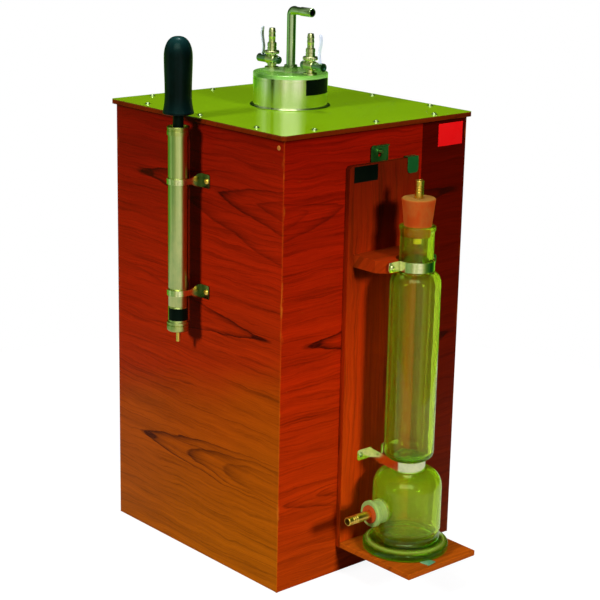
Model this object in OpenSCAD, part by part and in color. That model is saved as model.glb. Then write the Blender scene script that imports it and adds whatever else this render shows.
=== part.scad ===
// Heat capacity ratio apparatus: lagged air vessel in a wooden case, with a hand pump on its
// left face and a glass drying tower on a hanging board on its front face.
// Origin at the centre of the case's underside, +Z up, front face towards -Y, pump on -X.

/* [Case] */
// Width of the case, left to right
case_w = 256; // [220:1:290]
// Depth of the case, front to back
case_d = 278; // [250:1:310]
// Height of the case panels
case_h = 475; // [425:1:520]
// Thickness of the case panels
panel_t = 12; // [8:1:15]
// Thickness of the floor of the case
floor_t = 12; // [8:1:20]
// Side of the square corner battens
batten_w = 18; // [12:1:22]

/* [Lid] */
// Thickness of the lid board
lid_board_t = 4; // [3:0.5:8]
// Thickness of the laminate on the lid
laminate_t = 1; // [0.6:0.1:2]
// How far the lid overhangs the case
lid_overhang = 4.5; // [2:0.5:10]
// Radius of the corners of the lid
lid_corner_r = 5; // [2:0.5:12]
// Head diameter of the lid screws
lid_screw_head_d = 6; // [5:0.5:8]
// Shank diameter of the lid screws
lid_screw_d = 3; // [2.5:0.5:4]
// Distance between lid screws along the width
lid_screw_pitch_x = 84; // [60:1:100]
// Distance between lid screws along the depth
lid_screw_pitch_y = 90; // [60:1:110]

/* [Air vessel] */
// Gap between the lagging and the side panels
lagging_gap = 8; // [3:0.5:20]
// Wall of the vessel
vessel_wall = 1.6; // [1:0.1:3]
// How far the vessel's shoulder ends below the top of the case panels
vessel_drop = 65; // [30:1:90]
// Height of the vessel's shoulder
shoulder_h = 36; // [28:1:40]
// Thickness of the cork pad under the vessel
base_pad_t = 22; // [10:1:30]
// Thickness of the felt lagging round the vessel
lagging_t = 10; // [4:1:12]
// Thickness of the cork ring between vessel and lid
top_pad_t = 18; // [10:1:22]
// Width of the cork ring between vessel and lid
top_pad_w = 26; // [12:1:40]

/* [Neck] */
// Outer radius of the neck
neck_r = 40; // [34:1:46]
// Wall of the neck
neck_wall = 1.6; // [1:0.1:3]
// Height of the neck above the lid, with its cap
neck_h = 36; // [28:1:44]
// Thickness of the neck cap
cap_t = 4; // [3:0.5:8]
// Width of the collar round the neck
collar_w = 3.2; // [2:0.2:6]
// Thickness of the collar round the neck
collar_t = 1.4; // [1:0.2:3]

/* [Vent tube] */
// Outer radius of the vent tube
vent_r = 4.8; // [4:0.1:5.5]
// Bore radius of the vent tube
vent_bore_r = 3.2; // [2:0.1:3.4]
// Height of the vent tube's arm above the neck cap
vent_arm_z = 64.5; // [50:0.5:80]
// Length of the vent tube's arm from the upright
vent_arm_l = 33; // [24:1:45]
// Radius of the sleeve on the arm
arm_sleeve_r = 4.7; // [4.6:0.1:5.6]
// Length of the sleeve on the arm
arm_sleeve_l = 17; // [10:1:20]
// Distance across the flats of the gland nut
gland_af = 14; // [13.5:0.5:18]
// Height of the gland nut
gland_h = 7; // [5:0.5:10]
// Length of the vent seat below the cap
seat_l = 24; // [18:1:32]
// Wall of the vent seat
seat_wall = 2.4; // [1.5:0.1:4]
// Radius of the port in vent tube and seat
vent_port_r = 2; // [1:0.1:2.6]

/* [Taps] */
// Distance of each tap's axis inside the neck's edge
tap_inset = 9; // [8.5:0.5:12]
// Radius of the tap's base flange
tap_flange_r = 7.6; // [6.5:0.1:8]
// Thickness of the tap's base flange
tap_flange_t = 2; // [1.5:0.1:3]
// Radius of the tap's upright
tap_stem_r = 4.7; // [4:0.1:6]
// Height of the plug's axis above the neck cap
plug_z = 9.5; // [8:0.5:12]
// Radius of the barrel that holds the plug
tap_barrel_r = 5.4; // [5:0.1:6.5]
// Length of the barrel that holds the plug
tap_barrel_l = 13; // [11:0.5:16]
// Radius of the plug
plug_r = 3.4; // [2.8:0.1:3.8]
// Radius of the way through the tap
tap_bore_r = 1.6; // [1:0.1:2]
// Height of the collar's underside above the cap
tap_collar_z = 15.5; // [15:0.5:18]
// Radius of the tap's collar
tap_collar_r = 8; // [6:0.1:9]
// Thickness of the tap's collar
tap_collar_t = 3.5; // [2:0.5:5]
// Height of the hose nozzle above the collar
nozzle_h = 24; // [18:1:30]
// Radius of the hose nozzle
nozzle_r = 3.6; // [2.8:0.1:3.8]
// Radius of the barbs on the hose nozzle
nozzle_barb_r = 3.9; // [3.8:0.1:5]
// Radius of the plug's head
plug_head_r = 4.4; // [3.8:0.1:5.2]
// Length of the plug's head
plug_head_l = 14; // [10:1:17]
// Height of the lever above the plug's axis
lever_h = 34; // [26:1:40]
// Width of the lever
lever_w = 3.6; // [3:0.2:6]
// Thickness of the lever
lever_t = 1.8; // [1.2:0.1:3]
// Radius of the nut at the plug's small end
plug_nut_r = 4.2; // [3.6:0.1:5]
// Length of the nut at the plug's small end
plug_nut_l = 5; // [3:0.5:7]

/* [Pump] */
// Distance of the pump's axis from the left face
pump_off = 22; // [20:0.5:30]
// How far the pump's collar sits below the top of the case panels
pump_drop = 3; // [0:0.5:20]
// Length of the pump from foot cap to collar top
pump_l = 216; // [190:1:225]
// Outer radius of the pump barrel
pump_r = 10.5; // [8:0.1:12]
// Wall of the pump barrel
pump_wall = 0.9; // [0.6:0.1:1.5]
// How far the pump's collar stands out from the barrel
pump_collar_w = 1.2; // [0.9:0.1:3]
// Height of the pump's collar
pump_collar_h = 9; // [7:0.5:14]
// How far the pump's foot cap stands out from the barrel
pump_foot_w = 1.3; // [0.6:0.1:3]
// Height of the pump's foot cap
pump_foot_h = 10.5; // [8:0.5:16]
// Radius of the pump's nozzle
pump_nozzle_r = 2.2; // [1.8:0.1:3]
// Length of the pump's nozzle
pump_nozzle_l = 12; // [8:1:18]
// Radius of the pump rod
rod_r = 5.5; // [4:0.1:6.5]
// Gap between collar and grip with the plunger down
grip_gap = 12.5; // [8:0.5:20]
// Length of the grip
grip_l = 78; // [64:1:90]
// Radius of the grip at its skirt
grip_skirt_r = 16; // [14:0.5:19]
// Radius of the grip at its waist
grip_waist_r = 13.4; // [12:0.2:15]
// Radius of the grip at its upper bulge
grip_bulge_r = 14.6; // [13:0.2:17]
// Thickness of the piston disc
piston_t = 3; // [2:0.5:6]
// Height of the leather cup washer
cup_h = 6; // [4:0.5:9]

/* [Pump clips] */
// Height of the upper clip above the pump's foot
clip_upper_up = 159.5; // [120:0.5:172]
// Height of the lower clip above the pump's foot
clip_lower_up = 42; // [30:0.5:70]
// Thickness of the clip strap
clip_t = 1.3; // [1:0.1:2]
// Width of the clip strap round the barrel
clip_band_w = 6; // [5:0.5:12]
// Height of the clip's feet
clip_foot_h = 14.5; // [12:0.5:18]
// Width of the clip's feet
clip_foot_w = 13; // [11:0.5:18]
// Head diameter of the clip screws
clip_screw_head_d = 6.2; // [5:0.2:8]
// Shank diameter of the clip screws
clip_screw_d = 3; // [2.5:0.5:4]

/* [Board] */
// Sideways place of the board's centre
board_x = 3; // [-20:1:20]
// Width of the board
board_w = 98; // [90:1:120]
// Height of the board's lower end
board_z = 30; // [20:1:36]
// How far the board's top sits below the top of the case panels
board_drop = 34; // [24:1:60]
// Thickness of the board
board_t = 6; // [5:0.5:12]
// Radius of the board's top corners
board_corner_r = 5; // [2:0.5:12]
// Gap between the board and the case
board_gap = 0.4; // [0.3:0.1:1]
// Depth of the shelf
shelf_d = 104; // [100:1:120]
// Thickness of the shelf
shelf_t = 6; // [4:0.5:12]

/* [Hanger] */
// Width of the hanger plate
hanger_w = 24; // [18:1:32]
// Height of the hanger plate above the board
hanger_rise = 17; // [13:0.5:20]
// Sheet thickness of the hanger plate
hanger_t = 1.5; // [1:0.1:2]
// Width of the slot in the hanger plate
slot_w = 4.4; // [4.2:0.1:6]
// Height of the slot in the hanger plate
slot_h = 7.5; // [6:0.5:8]
// Depth of the hanger plate's top flange
hanger_flange = 4; // [2:0.5:6]
// Length of the hanger plate behind the board
hanger_tail = 22; // [16:1:30]
// Radius of the peg on the case
peg_r = 1.8; // [1.2:0.1:2]
// How far the peg stands out from the case
peg_out = 6; // [4:0.5:8]
// Width of the bent clip on the board's top edge
edge_clip_w = 15; // [10:1:20]
// Height of the bent clip's front tab
edge_clip_h = 16; // [10:1:24]
// Sheet thickness of the bent clip
edge_clip_t = 1.3; // [1:0.1:2]

/* [Neck bracket] */
// Height of the middle of the bracket and its band above the shelf
bracket_up = 307.5; // [307:0.5:318]
// Thickness of the wooden bracket
bracket_t = 13; // [11:0.5:13.5]
// Width of the wooden bracket
bracket_w = 83; // [80:1:90]
// Distance of the bracket's front face behind the tower's axis
bracket_back = 6; // [4:0.5:8]
// Side of the chamfers on the bracket's front corners
bracket_chamfer = 11; // [4:0.5:12]
// Thickness of the metal band
band_t = 1.3; // [1:0.1:2]
// Height of the metal band
band_h = 10.5; // [8:0.5:11]
// Length of the band's lugs
lug_l = 16; // [13:0.5:18]
// Distance of the band's screws from the tower's axis
band_screw_x = 29; // [27:0.5:32]

/* [Waist strap] */
// Height of the waist strap above the shelf
waist_strap_z = 93.5; // [92.5:0.5:94.5]
// Height of the waist strap
waist_strap_h = 11; // [6:0.5:11]
// Thickness of the waist strap
waist_strap_t = 1.2; // [1:0.1:2]
// Distance of the strap's bends from the tower's axis at the board
strap_bend_x = 9; // [7:0.5:12]
// Length of the strap's feet on the board
strap_foot_l = 19; // [14:0.5:24]

/* [Tower] */
// Distance of the tower's axis from the board
tower_out = 49; // [48:0.5:54]
// Radius of the tower's foot
foot_r = 45; // [42:0.5:47]
// Thickness of the foot's rim
foot_rim_t = 8; // [6:0.5:9]
// Radius of the groove above the foot
groove_r = 34; // [32:0.5:35]
// Radius of the bell
bell_r = 36; // [34:0.5:38]
// Height at which the bell's shoulder starts
bell_h = 66; // [60:0.5:68]
// Radius of the waist
waist_r = 16.2; // [15:0.1:17]
// Height at which the waist starts
waist_z = 88.5; // [87.5:0.5:89]
// Height at which the waist ends
waist_top_z = 98.5; // [98.5:0.5:100]
// Radius of the drying column
column_r = 26; // [24:0.5:28]
// Depth of the start of the column's shoulder below the bracket's middle
column_below_bracket = 20.5; // [20:0.5:37]
// Outer radius of the tower's neck
tower_neck_r = 17.3; // [17:0.1:18]
// Radius of the tower's rim
rim_r = 18.4; // [18.2:0.1:19.5]
// Height of the tower's rim above the bracket's middle
rim_above_bracket = 40.5; // [37:0.5:48]
// Wall of the glass
glass_t = 3; // [2:0.1:3.2]
// Bore radius of the waist
waist_bore_r = 11; // [8:0.5:12]

/* [Side tubulure] */
// Height of the tubulure's axis above the shelf
side_z = 50; // [46:0.5:50.5]
// Outer radius of the tubulure
side_r = 12.4; // [11.5:0.1:13]
// Radius of the tubulure's rim
side_rim_r = 14; // [13.2:0.1:15]
// Distance of the rim's face from the tower's axis
side_out = 54; // [51:0.5:58]

/* [Stoppers] */
// Radius of the top stopper at its top
stopper_top_r = 17.2; // [17:0.1:19]
// Radius of the top stopper at its bottom
stopper_low_r = 13; // [12:0.1:13.2]
// Height of the top stopper
stopper_h = 39; // [34:0.5:44]
// How deep the top stopper sits in the neck
stopper_in = 11; // [10:0.5:14]
// Radius of the brass tubes
tube_r = 4.5; // [4:0.1:5]
// Bore radius of the brass tubes
tube_bore_r = 3.5; // [2.5:0.1:3.7]
// How far the top tube stands above its stopper
top_tube_out = 18; // [12:0.5:26]
// Radius of the side bung at its outer face
bung_r = 9.5; // [9:0.1:9.8]
// Length of the side bung
bung_l = 20; // [14:0.5:22]
// How far the side tube stands out of its bung
side_tube_out = 30; // [20:0.5:40]

/* [Hidden] */

$fn = 72;
veneer = [0.55, 0.22, 0.10];
bare_wood = [0.72, 0.50, 0.30];
laminate_green = [0.45, 0.60, 0.15];
nickel = [0.78, 0.80, 0.74];
brass = [0.78, 0.64, 0.28];
steel = [0.55, 0.56, 0.58];
black_rubber = [0.06, 0.06, 0.06];
orange_rubber = [0.78, 0.34, 0.18];
clear_glass = [0.62, 0.80, 0.55, 0.45];
cork = [0.70, 0.52, 0.34];
felt = [0.80, 0.78, 0.70];
leather = [0.45, 0.28, 0.15];

// Clearances
running_fit = 0.05;
loose_fit = 0.3;
hole_fit = 0.1;
cut = 0.5;

// Case and lid
front_y = -case_d / 2;
left_x = -case_w / 2;
lid_top = case_h + lid_board_t + laminate_t;
screw_line_x = case_w / 2 - panel_t / 2;
screw_line_y = case_d / 2 - panel_t / 2;
lid_screw_l = 20;
inner_w = case_w - 2 * panel_t;
inner_d = case_d - 2 * panel_t;

// Vessel and neck
vessel_r = inner_w / 2 - lagging_t - lagging_gap;
vessel_z = floor_t + base_pad_t;
vessel_body_h = case_h - vessel_drop - shoulder_h - vessel_z;
shoulder_z = vessel_z + vessel_body_h;
neck_base_z = shoulder_z + shoulder_h;
cap_top = lid_top + neck_h;
cap_z = cap_top - cap_t;
neck_hole_r = neck_r + 0.5;
tap_y = neck_r - tap_inset;
shoulder_ease = 8;

// Vent
vent_tip_z = cap_z - seat_l + 4;
gland_collar_r = gland_af / 2;
seat_r = vent_r + running_fit + seat_wall;
port_z = cap_z - seat_l / 2;
arm_z = cap_top + vent_arm_z;
elbow_r = vent_r;

// Taps
nozzle_ferrule_r = nozzle_r + 1.4;

// Pump
pump_x = left_x - pump_off;
pump_bore_r = pump_r - pump_wall;
pump_collar_r = pump_r + pump_collar_w;
pump_foot_r = pump_r + pump_foot_w;
pump_z = case_h - pump_drop - pump_l;
pump_top = pump_z + pump_l;
pump_floor_t = 4;
collar_lip = 2;
nozzle_spigot_r = pump_nozzle_r * 0.85;
guide_h = 12;
guide_top = pump_top - pump_collar_h / 2;
piston_gap = 3;
cup_t = 1.6;
piston_nut_h = cup_h - cup_t - 1;
piston_nut_r = 5;
piston_z = pump_z + pump_floor_t + piston_gap;
piston_top = piston_z + cup_h + piston_t;
spigot_r = rod_r * 0.5;
spigot_end = 0.5;
grip_z = pump_top + grip_gap;
grip_bore_l = grip_l * 0.6;

// Clips
clip_upper_z = pump_z + clip_upper_up;
clip_lower_z = pump_z + clip_lower_up;
strap_r = pump_r + hole_fit / 2;
clip_leg_y = strap_r + clip_t;
clip_screw_y = clip_leg_y + clip_foot_w * 0.66;
clip_screw_l = 10;

// Board and hanger
board_back = front_y - board_gap;
board_front = board_back - board_t;
board_h = case_h - board_drop - board_z;
board_top = board_z + board_h;
shelf_top = board_z + shelf_t;
hanger_x = board_x - 4;
hanger_back = board_back;
hanger_top = board_top + hanger_rise;
slot_top = hanger_top - 4.5;
peg_z = slot_top - loose_fit - peg_r;
peg_in = 9;
edge_clip_x = board_x + board_w / 2 - edge_clip_w / 2 - 2.5;

// Tower
tower_x = board_x;
tower_y = board_front - tower_out;
glass_z = shelf_top;
column_low_z = waist_top_z + 10.5;
column_top_z = bracket_up - column_below_bracket;
tower_h = bracket_up + rim_above_bracket;
waist_fillet = 1.5;
split_z = waist_strap_z;
neck_split_z = bracket_up - band_h / 2 + 0.75;
groove_up = 9;
bell_up = 18;
rim_h = 4;
tower_neck_bore_r = stopper_low_r + loose_fit;
stopper_taper = (stopper_top_r - stopper_low_r) / stopper_h;
stopper_z = glass_z + tower_h - stopper_in;
stopper_top = stopper_z + stopper_h;
rim_bore_r = tower_neck_bore_r + stopper_taper * stopper_in;
glass_floor_t = 9;

// Bracket and band
bracket_mid_z = glass_z + bracket_up;
bracket_z = bracket_mid_z - bracket_t / 2;
bracket_front = tower_y + bracket_back;
notch_r = tower_neck_r + 3.6;
band_r = tower_neck_r + loose_fit;
lug_y = bracket_front - band_t;
wood_screw_d = 3;
wood_screw_head_d = 6;
band_screw_l = 9;

// Strap
strap_z = glass_z + waist_strap_z;
strap_bore_r = waist_r + loose_fit;
strap_mid_r = strap_bore_r + waist_strap_t / 2;
strap_hole_x = strap_bend_x + strap_foot_l - 5;

// Side tubulure
side_axis_z = glass_z + side_z;
bung_taper = 0.06;
bung_out = 1.5;
bung_face = side_out + bung_out;
side_bore_r = bung_r + loose_fit - bung_taper * bung_out;
side_inner = bell_r - glass_t - 6;

// Points of an arc in the plane, from angle a0 to a1 about (x, y)
function arc(x, y, r, a0, a1, n) =
    [for (i = [0:n]) [x + r * cos(a0 + (a1 - a0) * i / n), y + r * sin(a0 + (a1 - a0) * i / n)]];

// Points of a smooth step from (r0, z0) to (r1, z1), upright at both ends
function ease(r0, z0, r1, z1, n) =
    [for (i = [0:n]) [r0 + (r1 - r0) * (1 - cos(180 * i / n)) / 2, z0 + (z1 - z0) * i / n]];

// A plate with all four corners rounded, centred in the plane
module rounded_plate(w, d, t, r) {
    linear_extrude(t) {
        square([w - 2 * r, d], center = true);
        square([w, d - 2 * r], center = true);
        for (x = [-1, 1], y = [-1, 1]) {
            translate([x * (w / 2 - r), y * (d / 2 - r)]) circle(r);
        }
    }
}

// A plain tube standing on z = 0
module tube(outer, inner, h) {
    difference() {
        cylinder(r = outer, h = h);
        translate([0, 0, -cut]) cylinder(r = inner, h = h + 2 * cut);
    }
}

// A round-headed screw along +Z: shank from z = 0 down, domed head above
module dome_screw(head_d, shank_d, l) {
    head_h = head_d * 0.35;
    dome = (head_h * head_h + head_d * head_d / 4) / (2 * head_h);
    translate([0, 0, -l]) cylinder(d = shank_d, h = l);
    intersection() {
        translate([0, 0, head_h - dome]) sphere(dome);
        cylinder(d = head_d, h = head_h);
    }
}

// A countersunk screw along +Z with its head flush at z = 0
module flat_screw(head_d, shank_d, l) {
    translate([0, 0, -l]) cylinder(d = shank_d, h = l);
    translate([0, 0, -head_d / 3]) cylinder(d1 = shank_d, d2 = head_d, h = head_d / 3);
}

// The hole that a countersunk screw sits in
module flat_screw_hole(head_d, shank_d, l) {
    translate([0, 0, -l]) cylinder(d = shank_d + 2 * hole_fit, h = l + cut);
    translate([0, 0, -head_d / 3])
        cylinder(d1 = shank_d + 2 * hole_fit, d2 = head_d + 2 * hole_fit, h = head_d / 3);
    cylinder(d = head_d + 2 * hole_fit, h = cut);
}

// Centres of the twelve lid screws
lid_screw_at = concat(
    [for (x = [-1:1], y = [-1, 1]) [x * lid_screw_pitch_x, y * screw_line_y]],
    [for (y = [-1:1], x = [-1, 1]) [x * screw_line_x, y * lid_screw_pitch_y]]
);

// Pilot holes for the lid screws, down from the top of the panels
module lid_pilots() {
    for (p = lid_screw_at) {
        translate([p[0], p[1], case_h - lid_screw_l])
            cylinder(d = lid_screw_d + 2 * hole_fit, h = lid_screw_l + cut);
    }
}

// Front or back panel, side is -1 or 1
module end_panel(side) {
    translate([left_x, side > 0 ? case_d / 2 - panel_t : front_y, 0]) cube([case_w, panel_t, case_h]);
}

// Left or right panel, side is -1 or 1
module side_panel(side) {
    translate([side > 0 ? case_w / 2 - panel_t : left_x, -inner_d / 2, 0])
        cube([panel_t, inner_d, case_h]);
}

module case_front() {
    color(veneer)
    difference() {
        end_panel(-1);
        lid_pilots();
        translate([hanger_x, front_y + peg_in, peg_z])
            rotate([90, 0, 0]) cylinder(r = peg_r + hole_fit / 2, h = peg_in + cut);
    }
}

module case_back() {
    color(veneer)
    difference() {
        end_panel(1);
        lid_pilots();
    }
}

module case_left() {
    color(veneer)
    difference() {
        side_panel(-1);
        lid_pilots();
        for (p = clip_screw_at) {
            translate([left_x - cut, p[0], p[1]])
                rotate([0, 90, 0]) cylinder(d = clip_screw_d + 2 * hole_fit, h = clip_screw_l + cut);
        }
    }
}

module case_right() {
    color(veneer)
    difference() {
        side_panel(1);
        lid_pilots();
    }
}

module case_floor() {
    color(bare_wood)
    translate([-inner_w / 2, -inner_d / 2, 0]) cube([inner_w, inner_d, floor_t]);
}

module corner_battens() {
    color(bare_wood)
    for (x = [-1, 1], y = [-1, 1]) {
        translate([
            x * (inner_w - batten_w) / 2 - batten_w / 2,
            y * (inner_d - batten_w) / 2 - batten_w / 2,
            floor_t
        ])
            cube([batten_w, batten_w, case_h - floor_t]);
    }
}

// Outline of the lid with its holes, t thick
module lid_sheet(t) {
    difference() {
        rounded_plate(case_w + 2 * lid_overhang, case_d + 2 * lid_overhang, t, lid_corner_r);
        translate([0, 0, -cut]) cylinder(r = neck_hole_r, h = t + 2 * cut);
        for (p = lid_screw_at) {
            translate([p[0], p[1], -cut]) cylinder(d = lid_screw_d + 2 * hole_fit, h = t + 2 * cut);
        }
    }
}

module lid_board() {
    color(veneer) translate([0, 0, case_h]) lid_sheet(lid_board_t);
}

module lid_laminate() {
    color(laminate_green) translate([0, 0, case_h + lid_board_t]) lid_sheet(laminate_t);
}

module lid_screws() {
    color(steel)
    for (p = lid_screw_at) {
        translate([p[0], p[1], lid_top])
            dome_screw(lid_screw_head_d, lid_screw_d, lid_screw_l + lid_board_t + laminate_t - 2);
    }
}

// Outline of the vessel from its floor up to the neck, drawn inwards by inset
function vessel_outline(inset) = concat(
    [[0, inset], [vessel_r - shoulder_ease, inset]],
    arc(vessel_r - shoulder_ease, shoulder_ease, shoulder_ease - inset, -90, 0, 6),
    ease(vessel_r - inset, vessel_body_h, neck_r - inset, vessel_body_h + shoulder_h, 12)
);

module vessel_shell() {
    color(brass)
    translate([0, 0, vessel_z]) rotate_extrude()
    difference() {
        polygon(concat(vessel_outline(0), [[0, vessel_body_h + shoulder_h]]));
        polygon(concat(vessel_outline(vessel_wall), [
            [neck_r - vessel_wall, vessel_body_h + shoulder_h + cut],
            [0, vessel_body_h + shoulder_h + cut]
        ]));
    }
}

module vessel_lagging() {
    color(felt)
    translate([0, 0, vessel_z + shoulder_ease])
        tube(vessel_r + hole_fit + lagging_t, vessel_r + hole_fit, vessel_body_h - shoulder_ease);
}

module base_pad() {
    color(cork)
    translate([0, 0, floor_t]) cylinder(r = vessel_r, h = base_pad_t);
}

module top_pad() {
    color(cork)
    translate([0, 0, case_h - top_pad_t]) tube(neck_r + top_pad_w, neck_r + hole_fit, top_pad_t);
}

module neck_tube() {
    color(nickel)
    translate([0, 0, neck_base_z]) tube(neck_r, neck_r - neck_wall, cap_z - neck_base_z);
}

module neck_collar() {
    color(nickel)
    translate([0, 0, lid_top]) rotate_extrude()
    difference() {
        union() {
            translate([neck_r + hole_fit / 2, 0]) square([collar_w - collar_t / 2, collar_t]);
            translate([neck_r + hole_fit / 2 + collar_w - collar_t / 2, collar_t / 2]) circle(collar_t / 2);
        }
    }
}

module neck_cap() {
    color(nickel)
    translate([0, 0, cap_z])
    difference() {
        rotate_extrude() {
            square([neck_r - 1, cap_t]);
            square([neck_r, cap_t - 1]);
            translate([neck_r - 1, cap_t - 1]) circle(1);
        }
        translate([0, 0, -cut]) cylinder(r = seat_r + hole_fit / 2, h = cap_t + 2 * cut);
        for (y = [-tap_y, tap_y]) {
            translate([0, y, -cut]) cylinder(r = tap_bore_r, h = cap_t + 2 * cut);
        }
    }
}

module vent_gland() {
    color(nickel)
    translate([0, 0, cap_top])
    difference() {
        union() {
            cylinder(d = gland_af / cos(30), h = gland_h - 2, $fn = 6);
            cylinder(r = gland_collar_r, h = gland_h);
        }
        translate([0, 0, -cut]) cylinder(r = vent_r + running_fit, h = gland_h + 2 * cut);
    }
}

module vent_seat() {
    color(brass)
    difference() {
        translate([0, 0, cap_z - seat_l]) cylinder(r = seat_r, h = seat_l + cap_t);
        translate([0, 0, cap_z - seat_l - cut])
            cylinder(r = vent_r + running_fit, h = seat_l + cap_t + 2 * cut);
        translate([0, 0, port_z]) rotate([90, 0, 0]) cylinder(r = vent_port_r, h = seat_r + cut);
    }
}

module vent_tube() {
    color(nickel)
    difference() {
        union() {
            translate([0, 0, vent_tip_z]) cylinder(r = vent_r, h = arm_z - vent_tip_z);
            translate([0, 0, arm_z]) sphere(elbow_r);
            translate([0, 0, arm_z]) rotate([90, 0, 0]) cylinder(r = vent_r - 0.6, h = vent_arm_l);
            translate([0, arm_sleeve_l - vent_arm_l, arm_z])
                rotate([90, 0, 0]) cylinder(r = arm_sleeve_r, h = arm_sleeve_l);
        }
        translate([0, 0, vent_tip_z + 3]) cylinder(r = vent_bore_r, h = arm_z - vent_tip_z - 3);
        translate([0, vent_bore_r, arm_z])
            rotate([90, 0, 0]) cylinder(r = vent_bore_r, h = vent_arm_l + vent_bore_r + cut);
        translate([0, 0, port_z]) rotate([90, 0, 0]) cylinder(r = vent_port_r, h = vent_r + cut);
    }
}

// Hose nozzle with a thick ferrule below and two barbs, on z = 0
module hose_nozzle(h) {
    rotate_extrude()
    polygon([
        [0, 0], [nozzle_ferrule_r, 0], [nozzle_ferrule_r, h * 0.35], [nozzle_ferrule_r - 0.8, h * 0.38],
        [nozzle_r, h * 0.38], [nozzle_r, h * 0.6], [nozzle_barb_r, h * 0.62], [nozzle_r, h * 0.76],
        [nozzle_r, h * 0.78], [nozzle_barb_r, h * 0.8], [nozzle_r - 0.5, h], [0, h]
    ]);
}

// Tap body at the origin, its outer side towards -Y
module tap_body() {
    difference() {
        union() {
            cylinder(r = tap_flange_r, h = tap_flange_t);
            cylinder(r = tap_stem_r, h = tap_collar_z);
            translate([0, tap_barrel_l / 2, plug_z])
                rotate([90, 0, 0]) cylinder(r = tap_barrel_r, h = tap_barrel_l);
            translate([0, 0, tap_collar_z]) cylinder(r = tap_collar_r, h = tap_collar_t);
            translate([0, 0, tap_collar_z + tap_collar_t]) hose_nozzle(nozzle_h);
        }
        translate([0, 0, -cut])
            cylinder(r = tap_bore_r, h = tap_collar_z + tap_collar_t + nozzle_h + 2 * cut);
        translate([0, tap_barrel_l / 2 + cut, plug_z])
            rotate([90, 0, 0]) cylinder(r = plug_r + running_fit, h = tap_barrel_l + 2 * cut);
    }
}

// Plug with its drilled way and its dished head
module tap_plug() {
    translate([0, 0, plug_z]) rotate([90, 0, 0])
    difference() {
        union() {
            translate([0, 0, -tap_barrel_l / 2 - plug_nut_l - 1])
                cylinder(r = plug_r * 0.6, h = plug_nut_l + 2);
            translate([0, 0, -tap_barrel_l / 2 + 0.2])
                cylinder(r = plug_r, h = tap_barrel_l + 0.2);
            translate([0, 0, tap_barrel_l / 2 + 0.3]) cylinder(r = plug_head_r, h = plug_head_l);
        }
        rotate([90, 0, 0]) translate([0, 0, -plug_r - cut])
            cylinder(r = tap_bore_r, h = 2 * plug_r + 2 * cut);
        translate([0, 0, tap_barrel_l / 2 + 0.3 + plug_head_l - 1.5])
            cylinder(r = plug_head_r - 1, h = 1.5 + cut);
        lever_seat();
    }
}

// Slot across the plug's head that the lever sits in, along the plug's axis
module lever_seat() {
    translate([-lever_w / 2, plug_head_r - 1.6, lever_mid - lever_t / 2])
        cube([lever_w, 3, lever_t]);
}

lever_mid = tap_barrel_l / 2 + plug_head_l * 0.62;

// Flat lever that rises from the plug's head with a slight double bend
module tap_lever() {
    foot = plug_head_r - 1.6;
    rise = plug_head_r + 0.5;
    n = 14;
    bend = lever_t * 0.7;
    half = lever_t / 2 * 0.9;
    function lever_y(i) = bend * sin(360 * i / n);
    pts = concat(
        [[foot, -half]],
        [for (i = [0:n]) [rise + (lever_h - rise) * i / n, lever_y(i) - half]],
        [for (i = [n:-1:0]) [rise + (lever_h - rise) * i / n, lever_y(i) + half]],
        [[foot, half]]
    );
    translate([0, -lever_mid, plug_z]) rotate([0, -90, 0])
    intersection() {
        translate([0, 0, -lever_w / 2]) linear_extrude(lever_w) polygon(pts);
        translate([lever_h / 2, 4 * lever_t, 0]) rotate([90, 0, 0])
            rounded_plate(lever_h, lever_w - 0.1, 8 * lever_t, lever_w / 2 - 0.1);
    }
}

module tap_nut() {
    translate([0, tap_barrel_l / 2 + 0.3, plug_z]) rotate([-90, 0, 0])
        tube(plug_nut_r, plug_r * 0.6 + hole_fit / 2, plug_nut_l);
}

// Places a tap's piece on the front (-1) or back (1) side of the neck cap
module at_tap(side) {
    translate([0, side * tap_y, cap_top])
        if (side < 0) children();
        else mirror([0, 1, 0]) children();
}

module front_tap_body() { color(nickel) at_tap(-1) tap_body(); }
module front_tap_plug() { color(brass) at_tap(-1) tap_plug(); }
module front_tap_lever() { color(nickel) at_tap(-1) tap_lever(); }
module front_tap_nut() { color(nickel) at_tap(-1) tap_nut(); }
module back_tap_body() { color(nickel) at_tap(1) tap_body(); }
module back_tap_plug() { color(brass) at_tap(1) tap_plug(); }
module back_tap_lever() { color(nickel) at_tap(1) tap_lever(); }
module back_tap_nut() { color(nickel) at_tap(1) tap_nut(); }

// Puts a piece on the pump's axis at height z
module on_pump(z) {
    translate([pump_x, 0, z]) children();
}

barrel_z = pump_z + pump_floor_t;
barrel_top = pump_top - collar_lip;

module pump_barrel() {
    color(nickel)
    on_pump(barrel_z) tube(pump_r, pump_bore_r, barrel_top - barrel_z);
}

module pump_collar() {
    color(nickel)
    on_pump(pump_top - pump_collar_h) rotate_extrude()
    difference() {
        union() {
            translate([pump_r + hole_fit / 2, 0])
                square([pump_collar_r - pump_r - hole_fit / 2, pump_collar_h * 0.45]);
            translate([pump_r + hole_fit / 2, pump_collar_h * 0.45])
                square([pump_collar_r - pump_r - hole_fit / 2 - 0.4, pump_collar_h * 0.4]);
            translate([pump_bore_r + 0.2, pump_collar_h - collar_lip])
                square([pump_collar_r - pump_bore_r - 1.2, collar_lip]);
            translate([pump_collar_r - 1, pump_collar_h - 1]) circle(1);
        }
    }
}

module pump_guide() {
    color(black_rubber)
    on_pump(guide_top - guide_h)
        tube(pump_bore_r - hole_fit / 2, rod_r + running_fit, guide_h);
}

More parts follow.
